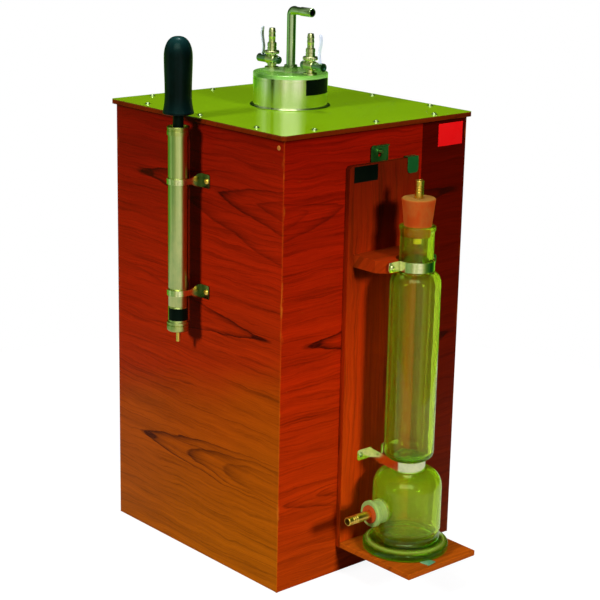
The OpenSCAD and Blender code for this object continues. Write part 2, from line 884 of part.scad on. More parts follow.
module pump_foot() {
    color(nickel)
    on_pump(pump_z)
    difference() {
        rotate_extrude() {
            square([pump_foot_r - 2.5, pump_foot_h]);
            translate([0, 2.5]) square([pump_foot_r, pump_foot_h - 2.5]);
            translate([pump_foot_r - 2.5, 2.5]) circle(2.5);
        }
        translate([0, 0, pump_floor_t]) cylinder(r = pump_r + hole_fit / 2, h = pump_foot_h);
        translate([0, 0, -cut]) cylinder(r = nozzle_spigot_r + hole_fit / 2, h = pump_floor_t + 2 * cut);
    }
}

module pump_nozzle() {
    color(brass)
    on_pump(pump_z - pump_nozzle_l)
    difference() {
        union() {
            cylinder(r = pump_nozzle_r, h = pump_nozzle_l);
            cylinder(r = nozzle_spigot_r, h = pump_nozzle_l + pump_floor_t);
        }
        translate([0, 0, -cut]) cylinder(r = pump_nozzle_r * 0.5, h = pump_nozzle_l + pump_floor_t + 2 * cut);
    }
}

module pump_rod() {
    color(black_rubber)
    union() {
        on_pump(piston_z + spigot_end) cylinder(r = spigot_r, h = piston_top - piston_z);
        on_pump(piston_top) cylinder(r = rod_r, h = grip_z + grip_bore_l - piston_top);
    }
}

module pump_piston() {
    color(brass)
    on_pump(piston_z + cup_h) tube(pump_bore_r - loose_fit, spigot_r + hole_fit / 2, piston_t);
}

// Leather cup with its lip down, held by the nut below and the piston disc above
module pump_cup() {
    color(leather)
    on_pump(piston_z)
    difference() {
        cylinder(r = pump_bore_r - running_fit, h = cup_h);
        translate([0, 0, -cut]) cylinder(r = pump_bore_r - cup_t, h = cup_h - cup_t + cut);
        translate([0, 0, -cut]) cylinder(r = spigot_r + hole_fit / 2, h = cup_h + 2 * cut);
    }
}

module pump_piston_nut() {
    color(steel)
    on_pump(piston_z + cup_h - cup_t - piston_nut_h) difference() {
        cylinder(r = piston_nut_r, h = piston_nut_h, $fn = 6);
        translate([0, 0, -cut]) cylinder(r = spigot_r + hole_fit / 2, h = piston_nut_h + 2 * cut);
    }
}

// Half outline of the grip from its skirt to its domed top
grip_outline = concat(
    [[grip_skirt_r - 0.8, 0], [grip_skirt_r, 0.8]],
    [for (i = [0:8]) [
        grip_waist_r + (grip_skirt_r - grip_waist_r) * pow(1 - i / 8, 2.4),
        1.6 + (grip_l * 0.26 - 1.6) * i / 8
    ]],
    ease(grip_waist_r, grip_l * 0.28, grip_bulge_r, grip_l * 0.72, 8),
    [for (i = [1:8]) [
        grip_bulge_r * pow(cos(10 * i), 0.9),
        grip_l * 0.74 + grip_l * 0.26 * sin(10 * i)
    ]]
);

module pump_grip() {
    color(black_rubber)
    on_pump(grip_z)
    difference() {
        rotate_extrude() polygon(concat([[0, 0]], grip_outline, [[0, grip_l]]));
        translate([0, 0, -cut]) cylinder(r = rod_r + hole_fit / 2, h = grip_bore_l + cut);
    }
}

clip_screw_at = [for (z = [clip_upper_z, clip_lower_z], y = [-1, 1]) [y * clip_screw_y, z]];

// Saddle clip round the barrel: half ring, two legs that widen to the wall, two screwed feet
module saddle_clip(z) {
    leg_l = pump_off - clip_t;
    on_pump(z)
    difference() {
        union() {
            translate([0, 0, -clip_band_w / 2]) difference() {
                cylinder(r = strap_r + clip_t, h = clip_band_w);
                translate([0, 0, -cut]) cylinder(r = strap_r, h = clip_band_w + 2 * cut);
                translate([0, -strap_r - clip_t - cut, -cut])
                    cube([strap_r + clip_t + cut, 2 * (strap_r + clip_t + cut), clip_band_w + 2 * cut]);
            }
            for (side = [-1, 1]) {
                translate([0, side < 0 ? -strap_r : clip_leg_y, 0]) rotate([90, 0, 0])
                linear_extrude(clip_t) polygon([
                    [0, -clip_band_w / 2], [leg_l * 0.4, -clip_band_w / 2],
                    [leg_l * 0.8, -clip_foot_h / 2], [pump_off, -clip_foot_h / 2],
                    [pump_off, clip_foot_h / 2], [leg_l * 0.8, clip_foot_h / 2],
                    [leg_l * 0.4, clip_band_w / 2], [0, clip_band_w / 2]
                ]);
                translate([leg_l, side * (clip_leg_y + clip_foot_w / 2 - clip_t / 2), 0])
                    rotate([0, 90, 0])
                    rounded_plate(clip_foot_h, clip_foot_w + clip_t, clip_t, 2);
            }
        }
        for (side = [-1, 1]) {
            translate([leg_l - cut, side * clip_screw_y, 0])
                rotate([0, 90, 0]) cylinder(d = clip_screw_d + 2 * hole_fit, h = clip_t + 2 * cut);
        }
    }
}

module pump_clip_upper() { color(nickel) saddle_clip(clip_upper_z); }
module pump_clip_lower() { color(nickel) saddle_clip(clip_lower_z); }

module clip_screws() {
    color(brass)
    for (p = clip_screw_at) {
        translate([left_x - clip_t, p[0], p[1]])
            rotate([0, -90, 0]) dome_screw(clip_screw_head_d, clip_screw_d, clip_screw_l);
    }
}

module hanger_peg() {
    color(steel)
    translate([hanger_x, front_y + peg_in, peg_z]) rotate([90, 0, 0])
        cylinder(r = peg_r, h = peg_in + peg_out);
}

// Hole through the board or the shelf for a screw driven from the back
module back_screws_at(points, l, hole) {
    for (p = points) {
        translate([p[0], board_back, p[1]]) rotate([-90, 0, 0])
            if (hole) flat_screw_hole(wood_screw_head_d, wood_screw_d, l);
            else flat_screw(wood_screw_head_d, wood_screw_d, l);
    }
}

shelf_screw_at = [for (x = [-1, 1]) [board_x + x * board_w * 0.33, board_z + shelf_t / 2]];
bracket_screw_at = [for (x = [-1, 1]) [tower_x + x * bracket_w * 0.3, bracket_mid_z]];
hanger_screw_at = [for (x = [-1, 1]) [hanger_x + x * hanger_w * 0.28, board_top - hanger_tail * 0.55]];
strap_screw_at = [for (x = [-1, 1]) [tower_x + x * strap_hole_x, strap_z]];
screw_grip = 12;
hanger_screw_head_d = 3.8;
hanger_screw_d = 2;

module tower_board() {
    color(veneer)
    difference() {
        translate([board_x, board_back, board_z + board_h / 2]) rotate([90, 0, 0])
        linear_extrude(board_t) {
            translate([-board_w / 2, -board_h / 2]) square([board_w, board_h - board_corner_r]);
            translate([-board_w / 2 + board_corner_r, board_h / 2 - board_corner_r])
                square([board_w - 2 * board_corner_r, board_corner_r]);
            for (x = [-1, 1]) {
                translate([x * (board_w / 2 - board_corner_r), board_h / 2 - board_corner_r])
                    circle(board_corner_r);
            }
        }
        translate([hanger_x - hanger_w / 2 - hole_fit, board_back - hanger_t - hole_fit, board_top - hanger_tail - hole_fit])
            cube([hanger_w + 2 * hole_fit, hanger_t + hole_fit + cut, hanger_tail + hole_fit + cut]);
        back_screws_at(shelf_screw_at, board_t + cut, true);
        back_screws_at(bracket_screw_at, board_t + cut, true);
        for (p = hanger_screw_at) {
            translate([p[0], board_back, p[1]]) rotate([90, 0, 0])
                cylinder(d = hanger_screw_d + 2 * hole_fit, h = board_t - 1);
        }
        for (p = strap_screw_at) {
            translate([p[0], board_front - cut, p[1]]) rotate([-90, 0, 0])
                cylinder(d = wood_screw_d + 2 * hole_fit, h = board_t - 1 + cut);
        }
    }
}

module tower_shelf() {
    color(veneer)
    difference() {
        translate([board_x - board_w / 2, board_front - shelf_d, board_z]) cube([board_w, shelf_d, shelf_t]);
        back_screws_at(shelf_screw_at, board_t + screw_grip + 1, true);
    }
}

// Countersunk screws driven from the board's back into shelf, bracket and hanger plate
module board_screws() {
    color(steel) {
        back_screws_at(shelf_screw_at, board_t + screw_grip, false);
        back_screws_at(bracket_screw_at, board_t + screw_grip, false);
        for (p = hanger_screw_at) {
            translate([p[0], board_back, p[1]]) rotate([-90, 0, 0])
                flat_screw(hanger_screw_head_d, hanger_screw_d, board_t - 1.5);
        }
    }
}

module hanger_plate() {
    color(nickel)
    difference() {
        union() {
            translate([hanger_x, hanger_back, board_top - hanger_tail]) rotate([90, 0, 0])
            linear_extrude(hanger_t) {
                translate([-hanger_w / 2, 0]) square([hanger_w, hanger_tail + hanger_rise - 4]);
                translate([-hanger_w / 2 + 4, 0]) square([hanger_w - 8, hanger_tail + hanger_rise]);
                for (x = [-1, 1]) {
                    translate([x * (hanger_w / 2 - 4), hanger_tail + hanger_rise - 4]) circle(4);
                }
            }
            translate([hanger_x - hanger_w / 2 + 4, hanger_back - hanger_flange, hanger_top - hanger_t])
                cube([hanger_w - 5, hanger_flange, hanger_t]);
        }
        translate([hanger_x, hanger_back + cut, slot_top - slot_h]) rotate([90, 0, 0])
        linear_extrude(hanger_t + 2 * cut) {
            translate([-slot_w / 2, 0]) square([slot_w, slot_h - slot_w / 2]);
            translate([0, slot_h - slot_w / 2]) circle(d = slot_w);
        }
        for (p = hanger_screw_at) {
            translate([p[0], board_back, p[1]]) rotate([-90, 0, 0])
                flat_screw_hole(hanger_screw_head_d, hanger_screw_d, hanger_t + cut);
        }
    }
}

// Bent plate over the board's top edge, its front tab rounded below
module edge_clip() {
    color(nickel)
    union() {
        translate([edge_clip_x, board_front, 0]) rotate([90, 0, 0]) linear_extrude(edge_clip_t) {
            translate([-edge_clip_w / 2, board_top - edge_clip_h + 4])
                square([edge_clip_w, edge_clip_h - 4 + edge_clip_t]);
            translate([-edge_clip_w / 2 + 4, board_top - edge_clip_h]) square([edge_clip_w - 8, 4]);
            for (x = [-1, 1]) {
                translate([x * (edge_clip_w / 2 - 4), board_top - edge_clip_h + 4]) circle(4);
            }
        }
        translate([edge_clip_x - edge_clip_w / 2, board_front, board_top])
            cube([edge_clip_w, board_t, edge_clip_t]);
    }
}

module neck_bracket() {
    color(veneer)
    difference() {
        translate([tower_x, board_front, bracket_z]) rotate([0, 0, 180])
        linear_extrude(bracket_t) difference() {
            polygon([
                [-bracket_w / 2, 0], [bracket_w / 2, 0],
                [bracket_w / 2, tower_out - bracket_back - bracket_chamfer],
                [bracket_w / 2 - bracket_chamfer, tower_out - bracket_back],
                [-bracket_w / 2 + bracket_chamfer, tower_out - bracket_back],
                [-bracket_w / 2, tower_out - bracket_back - bracket_chamfer]
            ]);
            translate([0, tower_out]) circle(notch_r);
        }
        back_screws_at(bracket_screw_at, board_t + screw_grip + 1, true);
        for (x = [-1, 1]) {
            translate([tower_x + x * band_screw_x, bracket_front - cut, bracket_mid_z]) rotate([-90, 0, 0])
                cylinder(d = wood_screw_d + 2 * hole_fit, h = band_screw_l + 1 + cut);
        }
    }
}

// Half band round the front of the tower's neck with a screwed lug on each side
module neck_band() {
    reach = sqrt(pow(band_r, 2) - pow(bracket_back, 2));
    color(nickel)
    difference() {
        union() {
            translate([tower_x, tower_y, bracket_mid_z - band_h / 2]) difference() {
                cylinder(r = band_r + band_t, h = band_h);
                translate([0, 0, -cut]) cylinder(r = band_r, h = band_h + 2 * cut);
                translate([-2 * band_r, bracket_back, -cut])
                    cube([4 * band_r, 2 * band_r, band_h + 2 * cut]);
            }
            for (x = [-1, 1]) {
                translate([tower_x + x * (reach + lug_l / 2 + 1), bracket_front, bracket_mid_z])
                    rotate([90, 0, 0]) rounded_plate(lug_l + 1, band_h, band_t, 3.5);
            }
        }
        for (x = [-1, 1]) {
            translate([tower_x + x * band_screw_x, bracket_front + cut, bracket_mid_z])
                rotate([90, 0, 0]) cylinder(d = wood_screw_d + 2 * hole_fit, h = band_t + 2 * cut);
        }
        translate([tower_x, tower_y, bracket_mid_z - band_h]) cylinder(r = band_r, h = 2 * band_h);
    }
}

module band_screws() {
    color(nickel)
    for (x = [-1, 1]) {
        translate([tower_x + x * band_screw_x, lug_y, bracket_mid_z]) rotate([90, 0, 0])
            dome_screw(wood_screw_head_d, wood_screw_d, band_screw_l);
    }
}

// Strap round the waist: its legs close in towards the board and end in two screwed feet
module waist_strap() {
    run = sqrt(pow(strap_bend_x, 2) + pow(tower_out, 2));
    lean = asin(strap_mid_r / run) - atan(strap_bend_x / tower_out);
    leg_l = sqrt(pow(run, 2) - pow(strap_mid_r, 2));
    join = 1;
    far = 2 * strap_mid_r;
    color(nickel)
    translate([tower_x, tower_y, strap_z - waist_strap_h / 2])
    difference() {
        union() {
            linear_extrude(waist_strap_h) {
                difference() {
                    circle(strap_bore_r + waist_strap_t);
                    circle(strap_bore_r);
                    polygon([
                        [0, 0], [far * cos(lean), far * sin(lean)], [far, 2 * far],
                        [-far, 2 * far], [-far * cos(lean), far * sin(lean)]
                    ]);
                }
                for (side = [0, 1]) {
                    mirror([side, 0]) rotate(lean)
                        translate([strap_mid_r - waist_strap_t / 2, -join])
                        square([waist_strap_t, leg_l + join - waist_strap_t / 4]);
                }
            }
            for (side = [-1, 1]) {
                translate([
                    side * (strap_bend_x + strap_foot_l / 2 - waist_strap_t), tower_out, waist_strap_h / 2
                ])
                    rotate([90, 0, 0])
                    rounded_plate(strap_foot_l + 2 * waist_strap_t, waist_strap_h + 0.6, waist_strap_t, 2.5);
            }
        }
        for (side = [-1, 1]) {
            translate([side * strap_hole_x, tower_out + cut, waist_strap_h / 2])
                rotate([90, 0, 0]) cylinder(d = wood_screw_d + 2 * hole_fit, h = waist_strap_t + 2 * cut);
        }
        translate([0, 0, -cut]) cylinder(r = strap_bore_r, h = waist_strap_h + 2 * cut);
    }
}

module strap_screws() {
    color(steel)
    for (p = strap_screw_at) {
        translate([p[0], board_front - waist_strap_t, p[1]]) rotate([90, 0, 0])
            dome_screw(5.4, wood_screw_d, waist_strap_t + board_t - 1.5);
    }
}

// Points of a square-shouldered quarter curve from (r0, z0) upright to (r1, z1) level
function shoulder(r0, z0, r1, z1, n) =
    [for (i = [0:n]) [
        r1 + (r0 - r1) * pow(cos(90 * i / n), 0.8),
        z0 + (z1 - z0) * pow(sin(90 * i / n), 0.8)
    ]];

// Outer half outline of the tower from the foot to the rim
tower_outline = concat(
    [[0, 0], [foot_r - 1.5, 0]],
    arc(foot_r - 1.5, 1.5, 1.5, -90, 0, 3),
    arc(foot_r - 2, foot_rim_t - 2, 2, 0, 80, 3),
    [[groove_r + 4, foot_rim_t + 3]],
    ease(groove_r + 1.5, foot_rim_t + 5, groove_r, foot_rim_t + groove_up, 3),
    ease(groove_r, foot_rim_t + groove_up + 2, bell_r, foot_rim_t + bell_up - 2, 4),
    shoulder(bell_r, bell_h, waist_r + waist_fillet, waist_z - waist_fillet, 10),
    arc(waist_r + waist_fillet, waist_z, waist_fillet, 270, 180, 3),
    arc(waist_r + waist_fillet, waist_top_z, waist_fillet, 180, 90, 3),
    [for (i = [1:8]) [
        waist_r + waist_fillet + (column_r - waist_r - waist_fillet) * sin(11.25 * i),
        column_low_z - (column_low_z - waist_top_z - waist_fillet) * cos(11.25 * i)
    ]],
    [for (i = [0:8]) [
        tower_neck_r + 2 + (column_r - tower_neck_r - 2) * cos(11.25 * i),
        column_top_z + 12.5 * sin(11.25 * i)
    ]],
    arc(tower_neck_r + 2, column_top_z + 14.5, 2, 270, 180, 3),
    [[tower_neck_r, tower_h - rim_h - 1.5]],
    arc(rim_r - 1.2, tower_h - rim_h, 1.2, -70, 0, 3),
    arc(rim_r - 1.2, tower_h - 1.2, 1.2, 0, 90, 3),
    [[0, tower_h]]
);

// Half outline of the space inside the tower
tower_cavity = concat(
    [[0, glass_floor_t], [groove_r - glass_t - 3, glass_floor_t]],
    arc(groove_r - glass_t - 3, glass_floor_t + 3, 3, -90, 0, 3),
    ease(groove_r - glass_t, foot_rim_t + groove_up, bell_r - glass_t, foot_rim_t + bell_up, 4),
    shoulder(bell_r - glass_t, bell_h, waist_bore_r + 2, waist_z - 5.5, 10),
    arc(waist_bore_r + 2, waist_z - 3.5, 2, 270, 180, 2),
    arc(waist_bore_r + 2, waist_top_z + 2.5, 2, 180, 90, 2),
    [for (i = [1:8]) [
        waist_bore_r + 2 + (column_r - glass_t - waist_bore_r - 2) * sin(11.25 * i),
        column_low_z + 0.5 - (column_low_z - waist_top_z - 4) * cos(11.25 * i)
    ]],
    [for (i = [0:8]) [
        tower_neck_bore_r + 3 + (column_r - glass_t - tower_neck_bore_r - 3) * cos(11.25 * i),
        column_top_z - 3 + 13 * sin(11.25 * i)
    ]],
    arc(tower_neck_bore_r + 3, column_top_z + 13, 3, 270, 180, 2),
    [[tower_neck_bore_r, tower_h - stopper_in], [rim_bore_r, tower_h], [rim_bore_r, tower_h + 1], [0, tower_h + 1]]
);

// The part of the tower's turned shape between two heights, without its hollow
module tower_turned(z0, z1) {
    rotate_extrude() intersection() {
        polygon(tower_outline);
        translate([0, z0]) square([foot_r + 1, z1 - z0]);
    }
}

// The same with its hollow
module tower_section(z0, z1) {
    translate([tower_x, tower_y, glass_z])
    difference() {
        tower_turned(z0, z1);
        rotate_extrude() polygon(tower_cavity);
    }
}

// The way through the side tubulure, from the bell's inside to its mouth
module side_way() {
    translate([0, 0, side_z]) rotate([0, -90, 0]) {
        translate([0, 0, side_inner])
            cylinder(
                r1 = side_bore_r - bung_taper * (side_out - side_inner),
                r2 = side_bore_r,
                h = side_out - side_inner
            );
        translate([0, 0, side_out - hole_fit]) cylinder(r = side_bore_r, h = cut);
    }
}

// The tower is one piece of glass; its nodes are cut where straps or forms hide the line
module tower_bell() {
    color(clear_glass)
    difference() {
        tower_section(0, bell_h);
        translate([tower_x, tower_y, glass_z]) side_way();
    }
}

module tower_shoulder() { color(clear_glass) tower_section(bell_h, split_z); }
module tower_column() { color(clear_glass) tower_section(split_z, neck_split_z); }
module tower_neck() { color(clear_glass) tower_section(neck_split_z, tower_h + 1); }

module side_tubulure() {
    color(clear_glass)
    translate([tower_x, tower_y, glass_z])
    difference() {
        translate([0, 0, side_z]) rotate([0, -90, 0]) {
            cylinder(r = side_r, h = side_out - 1);
            translate([0, 0, side_out - 5]) rotate_extrude() {
                translate([side_r - 2, 0]) square([side_rim_r - side_r + 0.5, 5]);
                square([side_r, 5]);
                translate([side_rim_r - 1.5, 1.5]) circle(1.5);
                translate([side_rim_r - 1.5, 3.5]) circle(1.5);
                translate([side_rim_r - 1.5, 1.5]) square([1.5, 2]);
            }
        }
        tower_turned(0, bell_h);
        side_way();
    }
}

module tower_stopper() {
    color(orange_rubber)
    translate([tower_x, tower_y, stopper_z])
    difference() {
        rotate_extrude() polygon([
            [0, 0], [stopper_low_r - 0.8, 0], [stopper_low_r, 0.8],
            [stopper_top_r, stopper_h - 1], [stopper_top_r - 0.8, stopper_h], [0, stopper_h]
        ]);
        translate([0, 0, -cut]) cylinder(r = tube_r + hole_fit / 2, h = stopper_h + 2 * cut);
    }
}

// Brass hose tube with turned grooves near its outer end
module hose_tube(l) {
    rotate_extrude()
    difference() {
        translate([tube_bore_r, 0]) square([tube_r - tube_bore_r, l]);
        for (i = [0:2]) {
            translate([tube_r + 0.35, l - 6 - 2.6 * i]) circle(0.8);
        }
        translate([tube_r, l]) rotate(45) square(0.7, center = true);
    }
}

module top_tube() {
    color(brass)
    translate([tower_x, tower_y, stopper_z - 7]) hose_tube(stopper_h + top_tube_out + 7);
}

module side_bung() {
    color(orange_rubber)
    translate([tower_x, tower_y, side_axis_z]) rotate([0, -90, 0]) translate([0, 0, bung_face - bung_l])
    difference() {
        cylinder(r1 = bung_r - bung_taper * bung_l, r2 = bung_r, h = bung_l);
        translate([0, 0, -cut]) cylinder(r = tube_r + hole_fit / 2, h = bung_l + 2 * cut);
    }
}

module side_tube() {
    color(brass)
    translate([tower_x, tower_y, side_axis_z]) rotate([0, -90, 0])
    translate([0, 0, bung_face - bung_l - 4]) hose_tube(bung_l + 4 + side_tube_out);
}

case_front();
case_back();
case_left();
case_right();
case_floor();
corner_battens();
lid_board();
lid_laminate();
lid_screws();
vessel_shell();
vessel_lagging();
base_pad();
top_pad();
neck_tube();
neck_collar();
neck_cap();
vent_gland();
vent_seat();
vent_tube();
front_tap_body();
front_tap_plug();
front_tap_lever();
front_tap_nut();
back_tap_body();
back_tap_plug();
back_tap_lever();
back_tap_nut();
pump_barrel();
pump_collar();
pump_guide();
pump_foot();
pump_nozzle();
pump_rod();
pump_grip();
pump_piston();
pump_cup();
pump_piston_nut();
pump_clip_upper();
pump_clip_lower();
clip_screws();
hanger_peg();
tower_board();
tower_shelf();
board_screws();
hanger_plate();
edge_clip();
neck_bracket();
neck_band();
band_screws();
waist_strap();
strap_screws();
tower_bell();
side_tubulure();
tower_shoulder();
tower_column();
tower_neck();
tower_stopper();
top_tube();
side_bung();
side_tube();
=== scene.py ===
"""Looks of a heat capacity ratio apparatus.

A veneered case with a plated neck, taps and a hand pump, and a glass tower on a hanging board.
"""
import logging
import math
from dataclasses import dataclass
from enum import Enum
from typing import Any, Mapping, Optional, Sequence, Union

import bmesh
import bpy
from mathutils import Matrix, Vector


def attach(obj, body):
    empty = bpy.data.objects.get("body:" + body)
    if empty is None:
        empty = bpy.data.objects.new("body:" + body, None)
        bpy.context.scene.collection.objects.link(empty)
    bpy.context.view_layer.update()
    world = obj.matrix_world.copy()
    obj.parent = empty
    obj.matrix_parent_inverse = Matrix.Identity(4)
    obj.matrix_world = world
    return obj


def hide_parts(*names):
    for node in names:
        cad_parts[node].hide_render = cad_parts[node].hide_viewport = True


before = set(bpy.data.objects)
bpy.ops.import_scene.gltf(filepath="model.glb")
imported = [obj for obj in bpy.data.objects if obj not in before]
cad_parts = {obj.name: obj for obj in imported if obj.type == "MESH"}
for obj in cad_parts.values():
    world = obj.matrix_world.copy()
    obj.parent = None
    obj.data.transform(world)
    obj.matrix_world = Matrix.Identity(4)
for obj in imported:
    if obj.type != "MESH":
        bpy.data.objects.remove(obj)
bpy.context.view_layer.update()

log = logging.getLogger("apparatus")

MM = 0.001
SEAM = 0.002  # points of a part that are closer than this are merged
JOIN_SEAM = 0.001  # the same after two forms are combined
SLOT_HALF = 0.35
Point = tuple[float, float, float]
Colour = tuple[float, float, float]
Outline = list[tuple[float, float]]

CASE_HALF_WIDTH = 128.0
CASE_HALF_DEPTH = 139.0
CASE_TOP = 475.0
BOARD_TOP = 441.0
SHEET_X = 62.0  # the front face is darker to the right of this seam
TOWER_X = 3.0
TOWER_Y = -194.4
FOOT_TOP = 48.5  # the glass foot is milky up to here
RING_BEFORE = 20.0  # a figure's rings are drawn from this far before its apex
RING_SPAN = 260.0  # and over this length


class Facing(Enum):
    """Where the axis of a turned form points."""

    UP = (0.0, 0.0, 1.0)
    LEFT = (-1.0, 0.0, 0.0)
    FRONT = (0.0, -1.0, 0.0)

    def placed(self, at: Point) -> Matrix:
        """Gives the transform from upright at the origin to this direction at a point.

        Args:
            at: the point that the origin goes to, in millimetres.

        Returns:
            The transform.
        """
        turned = Vector((0, 0, 1)).rotation_difference(Vector(self.value)).to_matrix().to_4x4()
        return Matrix.Translation(at) @ turned


class Join(Enum):
    """How two forms are combined."""

    UNITE = "UNION"
    CUT = "DIFFERENCE"


class Grain(Enum):
    """Which way the veneer's grain runs on a piece."""

    CASE = "level, with the case's figures"
    UPRIGHT = "up and down"
    ACROSS = "left to right"


class Side(Enum):
    """The two taps' places on the neck cap, as the sign of Y."""

    FRONT = -1
    BACK = 1


def arc(x: float, y: float, r: float, start: float, end: float, steps: int) -> Outline:
    """Gives points of an arc.

    Args:
        x: first coordinate of its centre.
        y: second coordinate of its centre.
        r: its radius.
        start: its first angle in degrees.
        end: its last angle in degrees.
        steps: how many steps it is drawn with.

    Returns:
        The points from start to end.
    """
    return bow(x, y, r, r, start, end, steps)


def bow(x: float, y: float, rx: float, ry: float, start: float, end: float, steps: int) -> Outline:
    """Gives points of an arc of an ellipse.

    Args:
        x: first coordinate of its centre.
        y: second coordinate of its centre.
        rx: its radius along the first coordinate.
        ry: its radius along the second one.
        start: its first angle in degrees.
        end: its last angle in degrees.
        steps: how many steps it is drawn with.

    Returns:
        The points from start to end.
    """
    angles = [math.radians(start + (end - start) * i / steps) for i in range(steps + 1)]
    return [(x + rx * math.cos(a), y + ry * math.sin(a)) for a in angles]


def ease(r0: float, z0: float, r1: float, z1: float, steps: int) -> Outline:
    """Gives points of a smooth step that is upright at both ends.

    Args:
        r0: first radius.
        z0: first height.
        r1: last radius.
        z1: last height.
        steps: how many steps it is drawn with.

    Returns:
        The points from first to last.
    """
    parts = [i / steps for i in range(steps + 1)]
    return [(r0 + (r1 - r0) * (1 - math.cos(math.pi * t)) / 2, z0 + (z1 - z0) * t) for t in parts]


def shoulder(r0: float, z0: float, r1: float, z1: float, steps: int, power: float = 1.0) -> Outline:
    """Gives points of a quarter curve that starts upright and ends level.

    Args:
        r0: first radius.
        z0: first height.
        r1: last radius.
        z1: last height.
        steps: how many steps it is drawn with.
        power: below 1 for a squarer shoulder.

    Returns:
        The points from first to last.
    """
    turns = [math.pi / 2 * i / steps for i in range(steps + 1)]
    return [
        (r1 + (r0 - r1) * max(0.0, math.cos(t)) ** power, z0 + (z1 - z0) * math.sin(t) ** power)
        for t in turns
    ]


class Wire:
    """One output of a shader graph that takes part in arithmetic."""

    def __init__(self, graph: "Graph", socket: Optional[bpy.types.NodeSocket]) -> None:
        """Wraps a socket.

        Args:
            graph: the graph that the socket belongs to.
            socket: the output socket, or none for a node without outputs.
        """
        self.graph = graph
        self.socket = socket

    def _math(self, operation: str, *values: "Value") -> "Wire":
        """Adds a Math node for an operation on values and gives its output."""
        return self.graph.add("ShaderNodeMath", {"operation": operation}, dict(enumerate(values)))

    def __add__(self, other: "Value") -> "Wire":
        """Adds."""
        return self._math("ADD", self, other)

    def __radd__(self, other: "Value") -> "Wire":
        """Adds, reflected."""
        return self._math("ADD", other, self)

    def __sub__(self, other: "Value") -> "Wire":
        """Subtracts."""
        return self._math("SUBTRACT", self, other)

    def __rsub__(self, other: "Value") -> "Wire":
        """Subtracts, reflected."""
        return self._math("SUBTRACT", other, self)

    def __mul__(self, other: "Value") -> "Wire":
        """Multiplies."""
        return self._math("MULTIPLY", self, other)

    def __rmul__(self, other: "Value") -> "Wire":
        """Multiplies, reflected."""
        return self._math("MULTIPLY", other, self)

    def __truediv__(self, other: "Value") -> "Wire":
        """Divides."""
        return self._math("DIVIDE", self, other)

    def __pow__(self, other: "Value") -> "Wire":
        """Raises to a power."""
        return self._math("POWER", self, other)

    def __gt__(self, other: "Value") -> "Wire":
        """Gives 1 where this is greater."""
        return self._math("GREATER_THAN", self, other)

    def above(self, floor: "Value") -> "Wire":
        """Gives the greater of this and a floor."""
        return self._math("MAXIMUM", self, floor)

    def below(self, ceiling: "Value") -> "Wire":
        """Gives the lesser of this and a ceiling."""
        return self._math("MINIMUM", self, ceiling)

    def size(self) -> "Wire":
        """Gives this without its sign."""
        return self._math("ABSOLUTE", self)

    def clipped(self) -> "Wire":
        """Gives this held between 0 and 1."""
        return self.above(0.0).below(1.0)


Value = Union[Wire, float]


